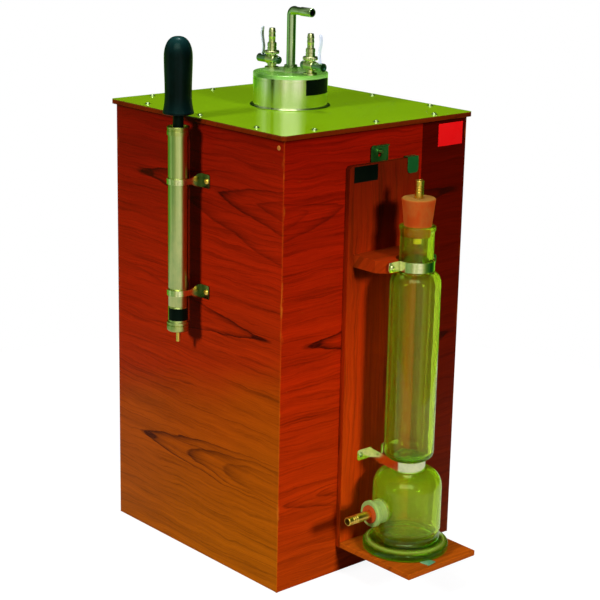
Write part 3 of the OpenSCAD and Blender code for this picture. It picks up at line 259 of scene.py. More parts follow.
class Graph:
    """The node graph of one material or of the world."""

    def __init__(self, owner: Union[bpy.types.Material, bpy.types.World]) -> None:
        """Starts an empty graph.

        Args:
            owner: the material or world whose nodes it holds.
        """
        owner.use_nodes = True
        self.tree = owner.node_tree
        self.tree.nodes.clear()

    def add(
        self,
        kind: str,
        settings: Optional[Mapping[str, Any]] = None,
        inputs: Optional[Mapping[Union[int, str], Any]] = None,
        out: Union[int, str] = 0,
    ) -> Wire:
        """Adds a node: settings first, then the values or links of its sockets.

        Args:
            kind: the node's type.
            settings: its properties; "stops" are a colour ramp's positions and colours.
            inputs: a value or a wire for each socket named or numbered.
            out: the output to give back.

        Returns:
            That output as a wire.
        """
        node = self.tree.nodes.new(kind)
        for name, value in (settings or {}).items():
            if name == "stops":
                band = node.color_ramp.elements
                for place, colour in value[1:-1]:
                    band.new(place).color = (*colour, 1.0)
                band[0].position, band[0].color = value[0][0], (*value[0][1], 1.0)
                band[len(band) - 1].position = value[-1][0]
                band[len(band) - 1].color = (*value[-1][1], 1.0)
            else:
                setattr(node, name, value)
        for key, value in (inputs or {}).items():
            socket = node.inputs[key]
            if isinstance(value, Wire):
                self.tree.links.new(value.socket, socket)
            elif isinstance(value, tuple) and len(value) == 3 and socket.type == "RGBA":
                socket.default_value = (*value, 1.0)
            else:
                socket.default_value = value
        return Wire(self, node.outputs[out] if node.outputs else None)

    def place(self, scale: Point = (1.0, 1.0, 1.0)) -> Wire:
        """Gives object coordinates in millimetres, each multiplied by a scale."""
        spot = self.add("ShaderNodeTexCoord", out="Object")
        return self.stretch(spot, (1000.0 * scale[0], 1000.0 * scale[1], 1000.0 * scale[2]))

    def stretch(self, vector: Wire, scale: Point) -> Wire:
        """Gives a vector with each part multiplied."""
        return self.add("ShaderNodeVectorMath", {"operation": "MULTIPLY"}, {0: vector, 1: scale})

    def noise(self, where: Wire, detail: float = 3.0, rough: float = 0.5) -> Wire:
        """Gives noise between 0 and 1 at coordinates where one unit is about one feature."""
        return self.add(
            "ShaderNodeTexNoise", {},
            {"Vector": where, "Scale": 1.0, "Detail": detail, "Roughness": rough}
        )

    def patches(
        self, where: Wire, low: float, high: float, detail: float = 3.0, rough: float = 0.5
    ) -> Wire:
        """Gives 0 where noise is under a low level, rising to 1 where it is over a high one."""
        return self.shades(self.noise(where, detail, rough), [(low, 0.0), (high, 1.0)])

    def ramp(self, value: Value, stops: Sequence[tuple[float, Colour]]) -> Wire:
        """Gives the colour at a value from stops of positions and colours."""
        return self.add("ShaderNodeValToRGB", {"stops": stops}, {0: value})

    def shades(self, value: Value, stops: Sequence[tuple[float, float]]) -> Wire:
        """Gives a level at a value from stops of positions and levels."""
        return self.ramp(value, [(p, (v, v, v)) for p, v in stops])

    def blend(self, factor: Value, low: Any, high: Any, mode: str = "MIX") -> Wire:
        """Mixes two colours.

        Args:
            factor: how much of the second colour.
            low: the first colour, or a wire.
            high: the second colour, or a wire.
            mode: the blend type.

        Returns:
            The mixed colour.
        """
        low, high = (c if isinstance(c, Wire) else (*c, 1.0) for c in (low, high))
        settings = {"data_type": "RGBA", "blend_type": mode}
        return self.add("ShaderNodeMix", settings, {0: factor, 6: low, 7: high}, 2)

    def vector(self, x: Value, y: Value, z: Value) -> Wire:
        """Joins three numbers into a vector."""
        return self.add("ShaderNodeCombineXYZ", {}, {0: x, 1: y, 2: z})

    def parts(self, vector: Wire) -> tuple[Wire, Wire, Wire]:
        """Splits a vector into its three numbers.

        Args:
            vector: the vector.

        Returns:
            Its X, Y and Z.
        """
        first = self.add("ShaderNodeSeparateXYZ", {}, {0: vector})
        outs = first.socket.node.outputs
        return first, Wire(self, outs[1]), Wire(self, outs[2])

    def facing(self) -> tuple[Wire, Wire, Wire]:
        """Gives the three numbers of the way that a face points."""
        return self.parts(self.add("ShaderNodeTexCoord", out="Normal"))

    def rays(self) -> tuple[Wire, Wire, Wire]:
        """Gives 1 on rays of one kind and 0 on others.

        Returns:
            The wires for rays from the camera, mirrored rays and rays through glass.
        """
        camera = self.add("ShaderNodeLightPath", out="Is Camera Ray")
        outs = camera.socket.node.outputs
        return camera, Wire(self, outs["Is Glossy Ray"]), Wire(self, outs["Is Transmission Ray"])

    def rim(self) -> Wire:
        """Gives about 0.5 on flat faces and more on edges that stick out."""
        return self.add("ShaderNodeNewGeometry", out="Pointiness")

    def bump(self, height: Wire, depth: float, reach: float = 0.5) -> Wire:
        """Gives a normal bent by a height.

        Args:
            height: the height from 0 to 1.
            depth: how strongly it shows.
            reach: the height's size in millimetres.

        Returns:
            The normal.
        """
        return self.add(
            "ShaderNodeBump", {}, {"Strength": depth, "Distance": reach * MM, "Height": height}
        )

    def surface(self, inputs: Mapping[str, Any]) -> None:
        """Ends the graph in a Principled shader with these inputs."""
        shader = self.add("ShaderNodeBsdfPrincipled", {}, inputs)
        self.add("ShaderNodeOutputMaterial", {}, {"Surface": shader})


made: dict[str, bpy.types.Material] = {}


@dataclass(frozen=True)
class Finish:
    """A finish that pieces share; each kind draws its own graph."""

    name: str

    def paint(self, graph: Graph) -> None:
        """Draws the finish's nodes.

        Args:
            graph: the graph to draw in.
        """
        raise NotImplementedError

    def material(self) -> bpy.types.Material:
        """Makes the finish's material on first use.

        Returns:
            The material.
        """
        if self.name not in made:
            made[self.name] = bpy.data.materials.new(self.name)
            self.paint(Graph(made[self.name]))
        return made[self.name]

    def dress(self, *nodes: str) -> None:
        """Puts the finish on CAD nodes that stay.

        Args:
            nodes: the nodes' names.
        """
        for node in nodes:
            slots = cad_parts[node].data.materials
            slots.clear()
            slots.append(self.material())
            log.info("%s: %s", node, self.name)


@dataclass(frozen=True)
class Figure:
    """Nested V-shaped grain lines round an apex.

    u and v place the apex along and across the grain, opens is the way that the V opens, upper and
    lower are how far each arm has left the axis 100 mm on, and rings are (level, width, darkness).
    """

    u: float
    v: float
    opens: float
    upper: float
    lower: float
    power: float
    rings: tuple[tuple[float, float, float], ...]
    blot: float = 0.0
    reach: float = 200.0

    def ink(self, graph: Graph, u: Wire, v: Wire) -> Wire:
        """Gives how dark the figure is at a place.

        Args:
            graph: the graph to draw in.
            u: place along the grain in millimetres.
            v: place across the grain in millimetres.

        Returns:
            Darkness from 0 to 1.
        """
        along = (u - self.u) * self.opens
        off = v - self.v
        spread = off.above(0.0) / self.upper + (0.0 - off).above(0.0) / self.lower
        level = along - (spread ** self.power) * 100.0
        stops = [(0.0, 0.0)]
        for at, width, dark in self.rings:
            place, half = (at + RING_BEFORE) / RING_SPAN, width / (2 * RING_SPAN)
            stops += [
                (place - half * 0.5, 0.0), (place, dark), (place + half, dark * 0.5),
                (place + half * 3.0, 0.0)
            ]
        lines = graph.shades((level + RING_BEFORE) / RING_SPAN, stops + [(1.0, 0.0)])
        inked = lines * (1.0 - ((along - self.reach * 0.3) / self.reach).clipped())
        if self.blot:
            near = ((along - 6.0) * (along - 6.0) / 330.0 + off * off / 16.0).below(1.0)
            inked = inked + (1.0 - near) * self.blot
        return inked.clipped()


SIDE_FIGURES = (
    Figure(-92.0, 407.5, 1.0, 17.0, 13.0, 1.35, ((2.0, 26.0, 1.0), (58.0, 16.0, 0.40)), 0.9, 150.0),
    Figure(38.0, 405.5, 1.0, 21.0, 25.0, 1.30, ((2.0, 20.0, 0.80), (62.0, 20.0, 0.60)), 0.3, 150.0),
    Figure(-30.0, 402.0, 1.0, 12.0, 36.0, 1.30, ((4.0, 24.0, 0.60),), 0.0, 260.0),
    Figure(
        114.0, 266.5, -1.0, 17.0, 11.5, 1.15, ((2.0, 26.0, 1.0), (80.0, 16.0, 0.30)), 1.0, 190.0
    ),
    Figure(
        -88.0, 110.6, 1.0, 19.0, 14.0, 2.2,
        ((2.0, 26.0, 0.95), (78.0, 22.0, 0.85), (140.0, 22.0, 0.65)), 1.0, 260.0,
    ),
)
FRONT_FIGURES = (
    Figure(-90.0, 261.0, 1.0, 20.0, 26.0, 1.2, ((2.0, 22.0, 1.0), (60.0, 14.0, 0.3)), 0.7, 120.0),
    Figure(110.0, 396.0, -1.0, 17.0, 13.0, 1.4, ((2.0, 24.0, 1.0), (44.0, 18.0, 0.8)), 1.0, 120.0),
    Figure(-46.0, 400.0, -1.0, 14.0, 30.0, 1.3, ((2.0, 14.0, 0.55), (50.0, 10.0, 0.3)), 0.0, 160.0),
    Figure(114.0, 238.0, -1.0, 18.0, 30.0, 1.3, ((2.0, 16.0, 0.8), (50.0, 12.0, 0.5)), 0.6, 160.0),
    Figure(-150.0, 96.0, 1.0, 8.0, 22.0, 1.5, ((30.0, 16.0, 0.55), (75.0, 12.0, 0.45)), 0.0, 260.0),
)


SIDE_STAIN = (
    (0.0, (0.330, 0.078, 0.0014)), (0.20, (0.295, 0.056, 0.0010)), (0.36, (0.285, 0.042, 0.0008)),
    (0.46, (0.285, 0.018, 0.0008)), (0.62, (0.275, 0.011, 0.0008)), (0.82, (0.205, 0.0070, 0.0007)),
    (1.0, (0.140, 0.0032, 0.0006)),
)
FRONT_STAIN = (
    (0.0, (0.360, 0.036, 0.0010)), (0.22, (0.350, 0.022, 0.0008)), (0.50, (0.325, 0.0130, 0.0006)),
    (0.75, (0.250, 0.0075, 0.0006)), (1.0, (0.190, 0.0036, 0.0005)),
)


@dataclass(frozen=True)
class Veneer(Finish):
    """Varnished red-brown veneer with dark V figures, pores and pale edges: wear, painted
    highlight.

    high, middle and low are its stain at three heights, shadow_low and shadow_high are where the
    lid's shadow begins and is full, and sheet_shade is how much darker the front's right part is.
    The back and right faces show the figures mirrored by back_flip and moved by back_u and back_v.
    """

    grain: Grain = Grain.CASE
    high: Colour = (0.165, 0.006, 0.0008)
    middle: Colour = (0.290, 0.021, 0.0008)
    low: Colour = (0.375, 0.082, 0.0010)
    lighter_edge: Colour = (0.50, 0.12, 0.008)
    ink: Colour = (0.016, 0.0012, 0.0005)
    streak: float = 1.0
    gloss: float = 0.40
    shadow_low: float = 469.5
    shadow_high: float = 474.5
    shadow: float = 0.8
    sheet_shade: float = 0.74
    back_flip: float = 1.9
    back_u: float = 22.0
    back_v: float = 36.0

    def tone(self, graph: Graph, y: Wire, z: Wire, side: Wire) -> Wire:
        """Gives the stain's broad colour, darker and redder towards the top.

        Args:
            graph: the graph to draw in.
            y: place from front to back in millimetres.
            z: height in millimetres.
            side: 1 on the left and right faces.

        Returns:
            The colour.
        """
        drift = graph.noise(graph.place((0.006, 0.006, 0.008)), 2.0) - 0.5
        if self.grain is not Grain.CASE:
            return graph.ramp(
                (z / BOARD_TOP + drift * 0.2).clipped(),
                [(0.0, self.low), (0.55, self.middle), (1.0, self.high)]
            )
        height = z / CASE_TOP + drift * 0.12
        flank = graph.ramp((height + y / 1500.0 * side).clipped(), SIDE_STAIN)
        return graph.blend(side, graph.ramp(height.clipped(), FRONT_STAIN), flank)

    def paint(self, graph: Graph) -> None:
        """Draws stain, streaks, figures, pores, wear, painted edge highlight and painted lid
        shadow.

        Args:
            graph: the graph to draw in.
        """
        x, y, z = graph.parts(graph.place())
        nx, ny, _ = graph.facing()
        side = nx.size() > 0.6
        if self.grain is Grain.CASE:
            back = (nx + ny) > 0.5
            u = x * (1.0 - side) - y * side
            u = u * (1.0 - back * self.back_flip) + back * self.back_u
            v = z + back * self.back_v
        elif self.grain is Grain.UPRIGHT:
            u, v = z, x + y * 0.7
        else:
            u, v = x, y + z * 0.8
        sway = graph.noise(graph.vector(u * 0.012, v * 0.035, side * 9.0), 2.0) - 0.5
        ripple = graph.noise(graph.vector(u * 0.06, v * 0.2, 3.0), 3.0, 0.6) - 0.5
        v = v + sway * 14.0 + ripple * 3.0
        broad = graph.noise(graph.vector(u * 0.004, v * 0.085, side * 5.0), 4.0, 0.6)
        fine = graph.noise(graph.vector(u * 0.014, v * 1.0, 1.0), 4.0, 0.6)
        pores = graph.patches(graph.vector(u * 0.10, v * 2.6, 2.0), 0.58, 0.72, 2.0)
        bands = graph.patches(graph.vector(u * 0.007, v * 0.30, 6.0), 0.48, 0.66, 3.0, 0.6)
        shade = 1.12 - self.streak * (broad * 1.0 + fine * 1.0 - 1.0 + bands * 0.30) - pores * 0.22
        torn = graph.noise(graph.vector(u * 0.05, v * 0.9, 4.0), 4.0, 0.7)
        chafe = graph.noise(graph.place((0.22, 0.22, 0.05)), 4.0, 0.7)
        if self.grain is Grain.CASE:
            marks: list[Wire] = []
            for figures, here in ((SIDE_FIGURES, side), (FRONT_FIGURES, 1.0 - side)):
                total = figures[0].ink(graph, u, v)
                for figure in figures[1:]:
                    total = total.above(figure.ink(graph, u, v))
                marks.append(total * here)
            sheet = ((x - SHEET_X) > 0.0) * (1.0 - side) * (1.0 - back)
            rise = (z - self.shadow_low) / (self.shadow_high - self.shadow_low)
            shade = shade * (1.0 - sheet * self.sheet_shade) * (1.0 - rise.clipped() * self.shadow)
            seam = (1.0 - ((x - SHEET_X).size() / 0.8).below(1.0)) * (1.0 - side) * 0.6
            lines = ((marks[0] + marks[1]) * (0.25 + torn * 1.35)).clipped().above(seam)
            corner = (x.size() - CASE_HALF_WIDTH).size().above((y.size() - CASE_HALF_DEPTH).size())
            knocks = graph.patches(graph.place((0.12, 0.12, 0.035)), 0.56, 0.66, 3.0, 0.6)
            edge = (1.0 - corner / (0.6 + chafe * 1.6 + knocks * 2.2)).clipped()
            edge = edge * (0.25 + knocks * 0.7) * chafe * 1.3
        else:
            lines = graph.shades(broad, [(0.58, 0.0), (0.66, 0.55), (0.70, 0.0)]) * (0.4 + torn)
            edge = ((graph.rim() - 0.53) * 8.0).clipped() * chafe * 0.6
        scuff = graph.patches(graph.place((0.09, 0.09, 0.16)), 0.70, 0.78, 3.0, 0.7)
        colour = graph.blend(
            1.0, self.tone(graph, y, z, side), graph.vector(shade, shade, shade), "MULTIPLY"
        )
        colour = graph.blend((lines * 0.95).clipped(), colour, self.ink)
        # pale edges: wear on the veneer together with a painted highlight along its corners and
        # edges
        colour = graph.blend((edge + scuff * 0.12).clipped(), colour, self.lighter_edge)
        graph.surface({
            "Base Color": colour, "Roughness": (self.gloss + fine * 0.14 + pores * 0.10),
            "Normal": graph.bump(fine * 0.5 + pores * -0.8, 0.12, 0.3), "IOR": 1.12,
            "Specular Tint": (1.0, 0.22, 0.02, 1.0),
        })


@dataclass(frozen=True)
class Laminate(Finish):
    """Glossy green laminate with faint mottling, dust and a brown sawn edge."""

    face: Colour = (0.325, 0.600, 0.0050)
    edge: Colour = (0.12, 0.020, 0.003)

    def paint(self, graph: Graph) -> None:
        """Draws the green face and the brown edge.

        Args:
            graph: the graph to draw in.
        """
        _, _, nz = graph.facing()
        cloud = graph.noise(graph.place((0.012, 0.012, 0.02)), 3.0, 0.6)
        dust = graph.patches(graph.place((0.5, 0.5, 0.5)), 0.66, 0.76, 4.0, 0.75)
        face = graph.blend(
            cloud, (0.85 * self.face[0], 0.88 * self.face[1], self.face[2]), self.face
        )
        face = graph.blend(dust * 0.22, face, (0.42, 0.62, 0.05))
        top = nz > 0.5
        graph.surface({
            "Base Color": graph.blend(top, self.edge, face),
            "Roughness": 0.04 + dust * 0.2 + cloud * 0.04,
            "IOR": 1.65, "Specular Tint": (0.6, 1.0, 0.15, 1.0),
            "Normal": graph.bump(cloud, 0.03, 1.0),
        })


@dataclass(frozen=True)
class Plate(Finish):
    """Plated metal with fine drawn lines, cloudy tarnish and bright edges of wear and painted
    highlight.

    lines are the scales of the noise that draws the polishing lines, small along them. If shaded,
    it carries painted shade: light as far as shade_from on the left of the case and dark from
    shade_over nearer.
    """

    light: Colour = (0.72, 0.76, 0.48)
    dark: Colour = (0.28, 0.36, 0.16)
    lines: Point = (0.02, 0.02, 2.2)
    rough: float = 0.16
    tarnish: float = 0.5
    metal: float = 1.0
    edge: Colour = (0.95, 1.0, 0.75)
    brushed: float = 0.0
    shaded: bool = False
    shade_from: float = -139.0
    shade_over: float = 5.0

    def paint(self, graph: Graph) -> None:
        """Draws the lines, the tarnish and the edges.

        Args:
            graph: the graph to draw in.
        """
        drawn = graph.noise(graph.place(self.lines), 3.0, 0.6)
        cloud = graph.noise(graph.place((0.09, 0.09, 0.06)), 4.0, 0.65)
        specks = graph.patches(graph.place((0.9, 0.9, 0.9)), 0.62, 0.74, 3.0, 0.7)
        lighter_edge = ((graph.rim() - 0.51) * 14.0).clipped()
        amount = graph.shades(cloud, [(0.38, 0.0), (0.66, 1.0)]) * self.tarnish
        amount = amount + specks * 0.25 + (drawn - 0.5) * 0.9
        colour = graph.blend(amount.clipped(), self.light, self.dark)
        # bright edges: rubbed plating together with a painted highlight on edges that stick out
        colour = graph.blend(lighter_edge * 0.5, colour, self.edge)
        # painted shade: the saddle's tab darkens towards the case's left face
        if self.shaded:
            x, _, _ = graph.parts(graph.place())
            near = ((x - self.shade_from) / self.shade_over).clipped()
            colour = graph.blend(near * (0.55 + cloud * 0.5), colour, self.dark)
        graph.surface({
            "Base Color": colour, "Metallic": self.metal,
            "Roughness": self.rough + drawn * 0.06 + amount * 0.06,
            "Normal": graph.bump(drawn, 0.05, 0.2), "Anisotropic": self.brushed,
            "Anisotropic Rotation": 0.25,
        })


@dataclass(frozen=True)
class Moulding(Finish):
    """Rubber, lacquer, card or any other dull skin with a dusty film and scuffed edges.

    upward_dust_and_highlight is how much dust_and_highlight_colour faces that look up take: a
    painted highlight on the grip's dome and skirt, a paler top on the stopper.
    """

    base: Colour = (0.004, 0.006, 0.005)
    dust_and_highlight_colour: Colour = (0.05, 0.10, 0.08)
    rough: float = 0.35
    grit: float = 0.8
    amount: float = 0.25
    upward_dust_and_highlight: float = 0.0
    depth: float = 0.08
    gloss: float = 0.0
    tint: Colour = (1.0, 1.0, 1.0)

    def paint(self, graph: Graph) -> None:
        """Draws the dust, the painted highlight on upward faces, the pits and the scuffed edges.

        Args:
            graph: the graph to draw in.
        """
        _, _, nz = graph.facing()
        cloud = graph.patches(graph.place((0.07, 0.07, 0.05)), 0.40, 0.70, 4.0, 0.65)
        pits = graph.noise(graph.place((self.grit, self.grit, self.grit)), 3.0, 0.6)
        lighter_edge = ((graph.rim() - 0.52) * 10.0).clipped()
        level = cloud * self.amount + pits * self.amount * 0.35 + lighter_edge * 0.3 * self.amount
        # painted highlight: faces that look up take dust_and_highlight_colour, most of all on the
        # grip
        level = level + nz.above(0.0) ** 1.5 * self.upward_dust_and_highlight
        graph.surface({
            "Base Color": graph.blend(level.clipped(), self.base, self.dust_and_highlight_colour),
            "Roughness": self.rough + pits * 0.14, "IOR": 1.22, "Specular Tint": (*self.tint, 1.0),
            "Coat Weight": self.gloss, "Coat Roughness": 0.12,
            "Normal": graph.bump(pits, self.depth, 0.3),
        })


@dataclass(frozen=True)
class Glass(Finish):
    """Green blown glass, deeper where it is thicker, with a painted sheen of haze where seen
    edge-on.

    Its tubulure is milky from arm_x outwards, and so is a ring of its foot round radius ring_r.
    """

    tint: Colour = (0.95, 0.98, 0.93)
    haze: Colour = (0.42, 0.56, 0.012)
    milk: Colour = (0.44, 0.60, 0.18)
    clear: float = 0.006
    bell: float = 0.15
    rim_sheen: float = 0.35
    straight: float = 0.12
    arm_x: float = -33.0
    arm_milk: float = 0.35
    ring_r: float = 40.3
    ring_half: float = 3.4
    ring_milk: float = 0.42
    body: Colour = (0.84, 0.957, 0.0)
    density: float = 400.0

    def paint(self, graph: Graph) -> None:
        """Draws clear glass with a thin green haze over a body that soaks up red and blue.

        Args:
            graph: the graph to draw in.
        """
        x, y, z = graph.parts(graph.place())
        off_axis = ((x - TOWER_X) * (x - TOWER_X) + (y - TOWER_Y) * (y - TOWER_Y)) ** 0.5
        waves = graph.noise(graph.place((0.05, 0.05, 0.03)), 2.0, 0.5)
        dust = graph.patches(graph.place((0.30, 0.30, 0.12)), 0.50, 0.80, 4.0, 0.7)
        low = graph.shades(z / 400.0, [(0.135, 0.0), (0.165, 1.0), (0.30, 1.0), (0.345, 0.0)])
        arm = ((self.arm_x - x) / 5.0).clipped() * (z > 60.0)
        ring = (1.0 - (off_axis - self.ring_r).size() / self.ring_half).clipped()
        foot = ((FOOT_TOP - z) / 2.5).clipped() * ring * self.ring_milk
        # painted highlight: the haze thickens where the glass is seen edge-on, to brighten its
        # edges
        glancing = graph.add("ShaderNodeLayerWeight", {}, {"Blend": 0.5}, "Facing") ** 4.0
        amount = self.clear + low * (self.bell - self.clear) + dust * 0.02
        amount = amount + arm * self.arm_milk + foot + glancing * self.rim_sheen
        ripple = graph.bump(waves, 0.2, 1.5)
        bent = graph.add("ShaderNodeBsdfPrincipled", {}, {
            "Base Color": graph.blend(dust * 0.3, self.tint, (0.80, 0.90, 0.60)),
            "Roughness": 0.01 + dust * 0.05,
            "Transmission Weight": 1.0, "IOR": 1.5, "Normal": ripple,
            "Specular Tint": (0.9, 1.0, 0.5, 1.0),
        })
        plain = graph.add("ShaderNodeBsdfTransparent", {}, {"Color": self.tint})
        clear = graph.add("ShaderNodeMixShader", {}, {0: self.straight, 1: bent, 2: plain})
        skin = graph.add("ShaderNodeBsdfPrincipled", {}, {
            "Base Color": graph.blend((arm + foot).clipped(), self.haze, self.milk),
            "Roughness": 0.30 + dust * 0.2, "IOR": 1.3,
            "Normal": ripple, "Specular Tint": (0.7, 1.0, 0.25, 1.0),
        })
        both = graph.add("ShaderNodeMixShader", {}, {0: amount.clipped(), 1: clear, 2: skin})
        inside = graph.add(
            "ShaderNodeVolumeAbsorption", {}, {"Color": self.body, "Density": self.density}
        )
        graph.add("ShaderNodeOutputMaterial", {}, {"Surface": both, "Volume": inside})


@dataclass(frozen=True)
class Timber(Finish):
    """Bare or plain wood with straight grain along one axis."""

    pale: Colour = (0.46, 0.27, 0.11)
    dark: Colour = (0.25, 0.12, 0.04)
    grain: Point = (0.9, 0.9, 0.015)

    def paint(self, graph: Graph) -> None:
        """Draws the grain and its fine pores.

        Args:
            graph: the graph to draw in.
        """
        rings = graph.noise(graph.place(self.grain), 4.0, 0.6)
        fine = graph.noise(graph.stretch(graph.place(self.grain), (4.0, 4.0, 4.0)), 3.0, 0.6)
        graph.surface({
            "Base Color": graph.blend(
                (rings * 1.3 + fine * 0.5 - 0.4).clipped(), self.pale, self.dark
            ),
            "Roughness": 0.62 + fine * 0.2, "Normal": graph.bump(fine, 0.25, 0.4),
        })


@dataclass(frozen=True)
class Fibre(Finish):
    """Cork, felt or leather: a granular or felted skin."""

    pale: Colour = (0.42, 0.26, 0.13)
    dark: Colour = (0.20, 0.10, 0.04)
    grain: float = 0.35

    def paint(self, graph: Graph) -> None:
        """Draws the grains and the fuzz between them.

        Args:
            graph: the graph to draw in.
        """
        cells = graph.add(
            "ShaderNodeTexVoronoi", {}, {"Vector": graph.place((self.grain,) * 3), "Scale": 1.0},
            "Distance"
        )
        fuzz = graph.noise(graph.place((1.6, 1.6, 1.6)), 4.0, 0.7)
        graph.surface({
            "Base Color": graph.blend((cells * 0.8 + fuzz * 0.4).clipped(), self.dark, self.pale),
            "Roughness": 0.85, "Normal": graph.bump(fuzz + cells, 0.35, 0.5),
        })


def even(name: str, stain: Colour, streak: float = 1.0) -> Veneer:
    """Gives a veneer with its grain from left to right and one stain at all heights.

    Args:
        name: the finish's name.
        stain: its colour.
        streak: how strong its streaks are.

    Returns:
        The finish.
    """
    return Veneer(name, Grain.ACROSS, high=stain, middle=stain, low=stain, streak=streak)


CASE_VENEER = Veneer("case_veneer")
BOARD_VENEER = Veneer(
    "board_veneer", Grain.UPRIGHT, high=(0.085, 0.0022, 0.0006), middle=(0.36, 0.019, 0.0006),
    low=(0.37, 0.032, 0.0008),
)
SHELF_VENEER = Veneer(
    "shelf_veneer", Grain.ACROSS, high=(0.30, 0.05, 0.001), middle=(0.32, 0.055, 0.001),
    low=(0.34, 0.062, 0.0025),
)
BRACKET_VENEER = even("bracket_veneer", (0.21, 0.013, 0.001), streak=0.5)
LID_VENEER = even("lid_veneer", (0.10, 0.008, 0.0007))
GREEN_LAMINATE = Laminate("green_laminate")
NICKEL = Plate("nickel", light=(0.56, 0.72, 0.44), dark=(0.20, 0.34, 0.16))
TAP_NICKEL = Plate(
    "tap_nickel", light=(0.86, 0.84, 0.46), dark=(0.34, 0.42, 0.16), rough=0.18, tarnish=0.6,
)
NECK_NICKEL = Plate(
    "neck_nickel", light=(0.96, 1.0, 0.76), dark=(0.70, 0.80, 0.50), lines=(0.8, 0.8, 0.004),
    rough=0.16, tarnish=0.25, brushed=0.80,
)
CAP_NICKEL = Plate(
    "cap_nickel", light=(0.24, 0.60, 0.08), dark=(0.10, 0.30, 0.04), lines=(0.5, 0.5, 0.5),
    rough=0.22, metal=0.3,
)
BARREL_NICKEL = Plate(
    "barrel_nickel", light=(0.56, 0.58, 0.17), dark=(0.22, 0.40, 0.09), lines=(1.0, 1.0, 0.006),
    rough=0.27, tarnish=0.6, edge=(0.7, 0.8, 0.4), brushed=0.5,
)
CLIP_NICKEL = Plate(
    "clip_nickel", light=(0.92, 0.94, 0.50), dark=(0.36, 0.50, 0.16), lines=(0.6, 0.6, 0.6),
    rough=0.17, tarnish=0.35,
)
SADDLE_NICKEL = Plate(
    "saddle_nickel", light=(0.92, 0.94, 0.50), dark=(0.05, 0.13, 0.02), lines=(0.6, 0.6, 0.6),
    rough=0.17, tarnish=0.18, shaded=True,
)
PLATE_NICKEL = Plate(
    "plate_nickel", light=(0.04, 0.20, 0.03), dark=(0.004, 0.03, 0.004), lines=(1.2, 0.4, 0.1),
    rough=0.20, metal=0.85, tarnish=0.8, edge=(0.12, 0.42, 0.10),
)
CLIP_ENAMEL = Plate(
    "clip_enamel", light=(0.014, 0.16, 0.034), dark=(0.008, 0.08, 0.014), lines=(1.2, 0.4, 0.1),
    rough=0.35, metal=0.7, edge=(0.03, 0.30, 0.07),
)
LEVER_NICKEL = Plate(
    "lever_nickel", light=(0.78, 0.82, 1.0), dark=(0.50, 0.58, 0.80), rough=0.25, tarnish=0.3,
    metal=0.1, edge=(0.80, 0.85, 1.0),
)
DARK_NICKEL = Plate(
    "dark_nickel", light=(0.40, 0.56, 0.24), dark=(0.06, 0.14, 0.05), rough=0.20, tarnish=0.7,
)
PLUG_NICKEL = Plate(
    "plug_nickel", light=(0.22, 0.40, 0.32), dark=(0.03, 0.10, 0.08), rough=0.18, tarnish=0.7,
    edge=(0.6, 0.8, 0.6),
)
BRASS = Plate(
    "brass", light=(0.98, 0.66, 0.09), dark=(0.46, 0.27, 0.03), rough=0.30, tarnish=0.35,
    edge=(1.0, 0.75, 0.25),
)
DULL_BRASS = Plate(
    "dull_brass", light=(0.50, 0.16, 0.02), dark=(0.20, 0.05, 0.01), rough=0.45, tarnish=0.6,
    metal=0.3, edge=(0.6, 0.25, 0.04),
)
STEEL = Plate(
    "steel", light=(0.46, 0.60, 0.28), dark=(0.20, 0.30, 0.12), rough=0.34, edge=(0.6, 0.75, 0.35),
)
# its teal dust_and_highlight_colour mostly paints the highlight on its dome and skirt
GRIP_RUBBER = Moulding(
    "grip_rubber", base=(0.0004, 0.0008, 0.0009), dust_and_highlight_colour=(0.006, 0.042, 0.042), rough=0.27,
    amount=0.06, tint=(0.25, 0.85, 0.80), upward_dust_and_highlight=0.9, gloss=0.08,
)
BLACK_LACQUER = Moulding(
    "black_lacquer", base=(0.0006, 0.0010, 0.0008), dust_and_highlight_colour=(0.004, 0.010, 0.005), rough=0.34,
    amount=0.15, tint=(0.3, 0.7, 0.5),
)
BUNG_RUBBER = Moulding(
    "bung_rubber", base=(0.42, 0.050, 0.006), dust_and_highlight_colour=(0.32, 0.11, 0.03), rough=0.6, amount=0.45,
    tint=(1.0, 0.4, 0.1),
)
STOPPER_RUBBER = Moulding(
    "stopper_rubber", base=(0.35, 0.038, 0.004), dust_and_highlight_colour=(0.30, 0.14, 0.025), rough=0.6, amount=0.35,
    upward_dust_and_highlight=0.85, tint=(1.0, 0.4, 0.1),
)
RED_CARD = Moulding(
    "red_card", base=(0.70, 0.004, 0.005), dust_and_highlight_colour=(0.72, 0.012, 0.012), rough=0.6, amount=0.3,
    grit=0.4, tint=(1.0, 0.1, 0.1),
)
TEAL_PLATE = Moulding(
    "teal_plate", base=(0.06, 0.24, 0.12), dust_and_highlight_colour=(0.26, 0.46, 0.22), rough=0.3, amount=0.5,
)
TOWER_GLASS = Glass("tower_glass_skin")
BARE_WOOD = Timber("bare_wood")
CORK = Fibre("cork")
FELT = Fibre("felt", pale=(0.30, 0.28, 0.22), dark=(0.14, 0.13, 0.10), grain=1.2)
LEATHER = Fibre("leather", pale=(0.16, 0.07, 0.03), dark=(0.06, 0.025, 0.01), grain=0.8)


def linked(name: str, data: bpy.types.ID) -> bpy.types.Object:
    """Makes an object of some data and links it to the scene.

    Args:
        name: the object's name.
        data: its mesh, lamp or camera.

    Returns:
        The object.
    """
    item = bpy.data.objects.new(name, data)
    bpy.context.scene.collection.objects.link(item)
    return item


def only(kind: type, parts: Sequence[Any]) -> list[Any]:
    """Gives those parts of an operator's result that are of a kind."""
    return [part for part in parts if isinstance(part, kind)]


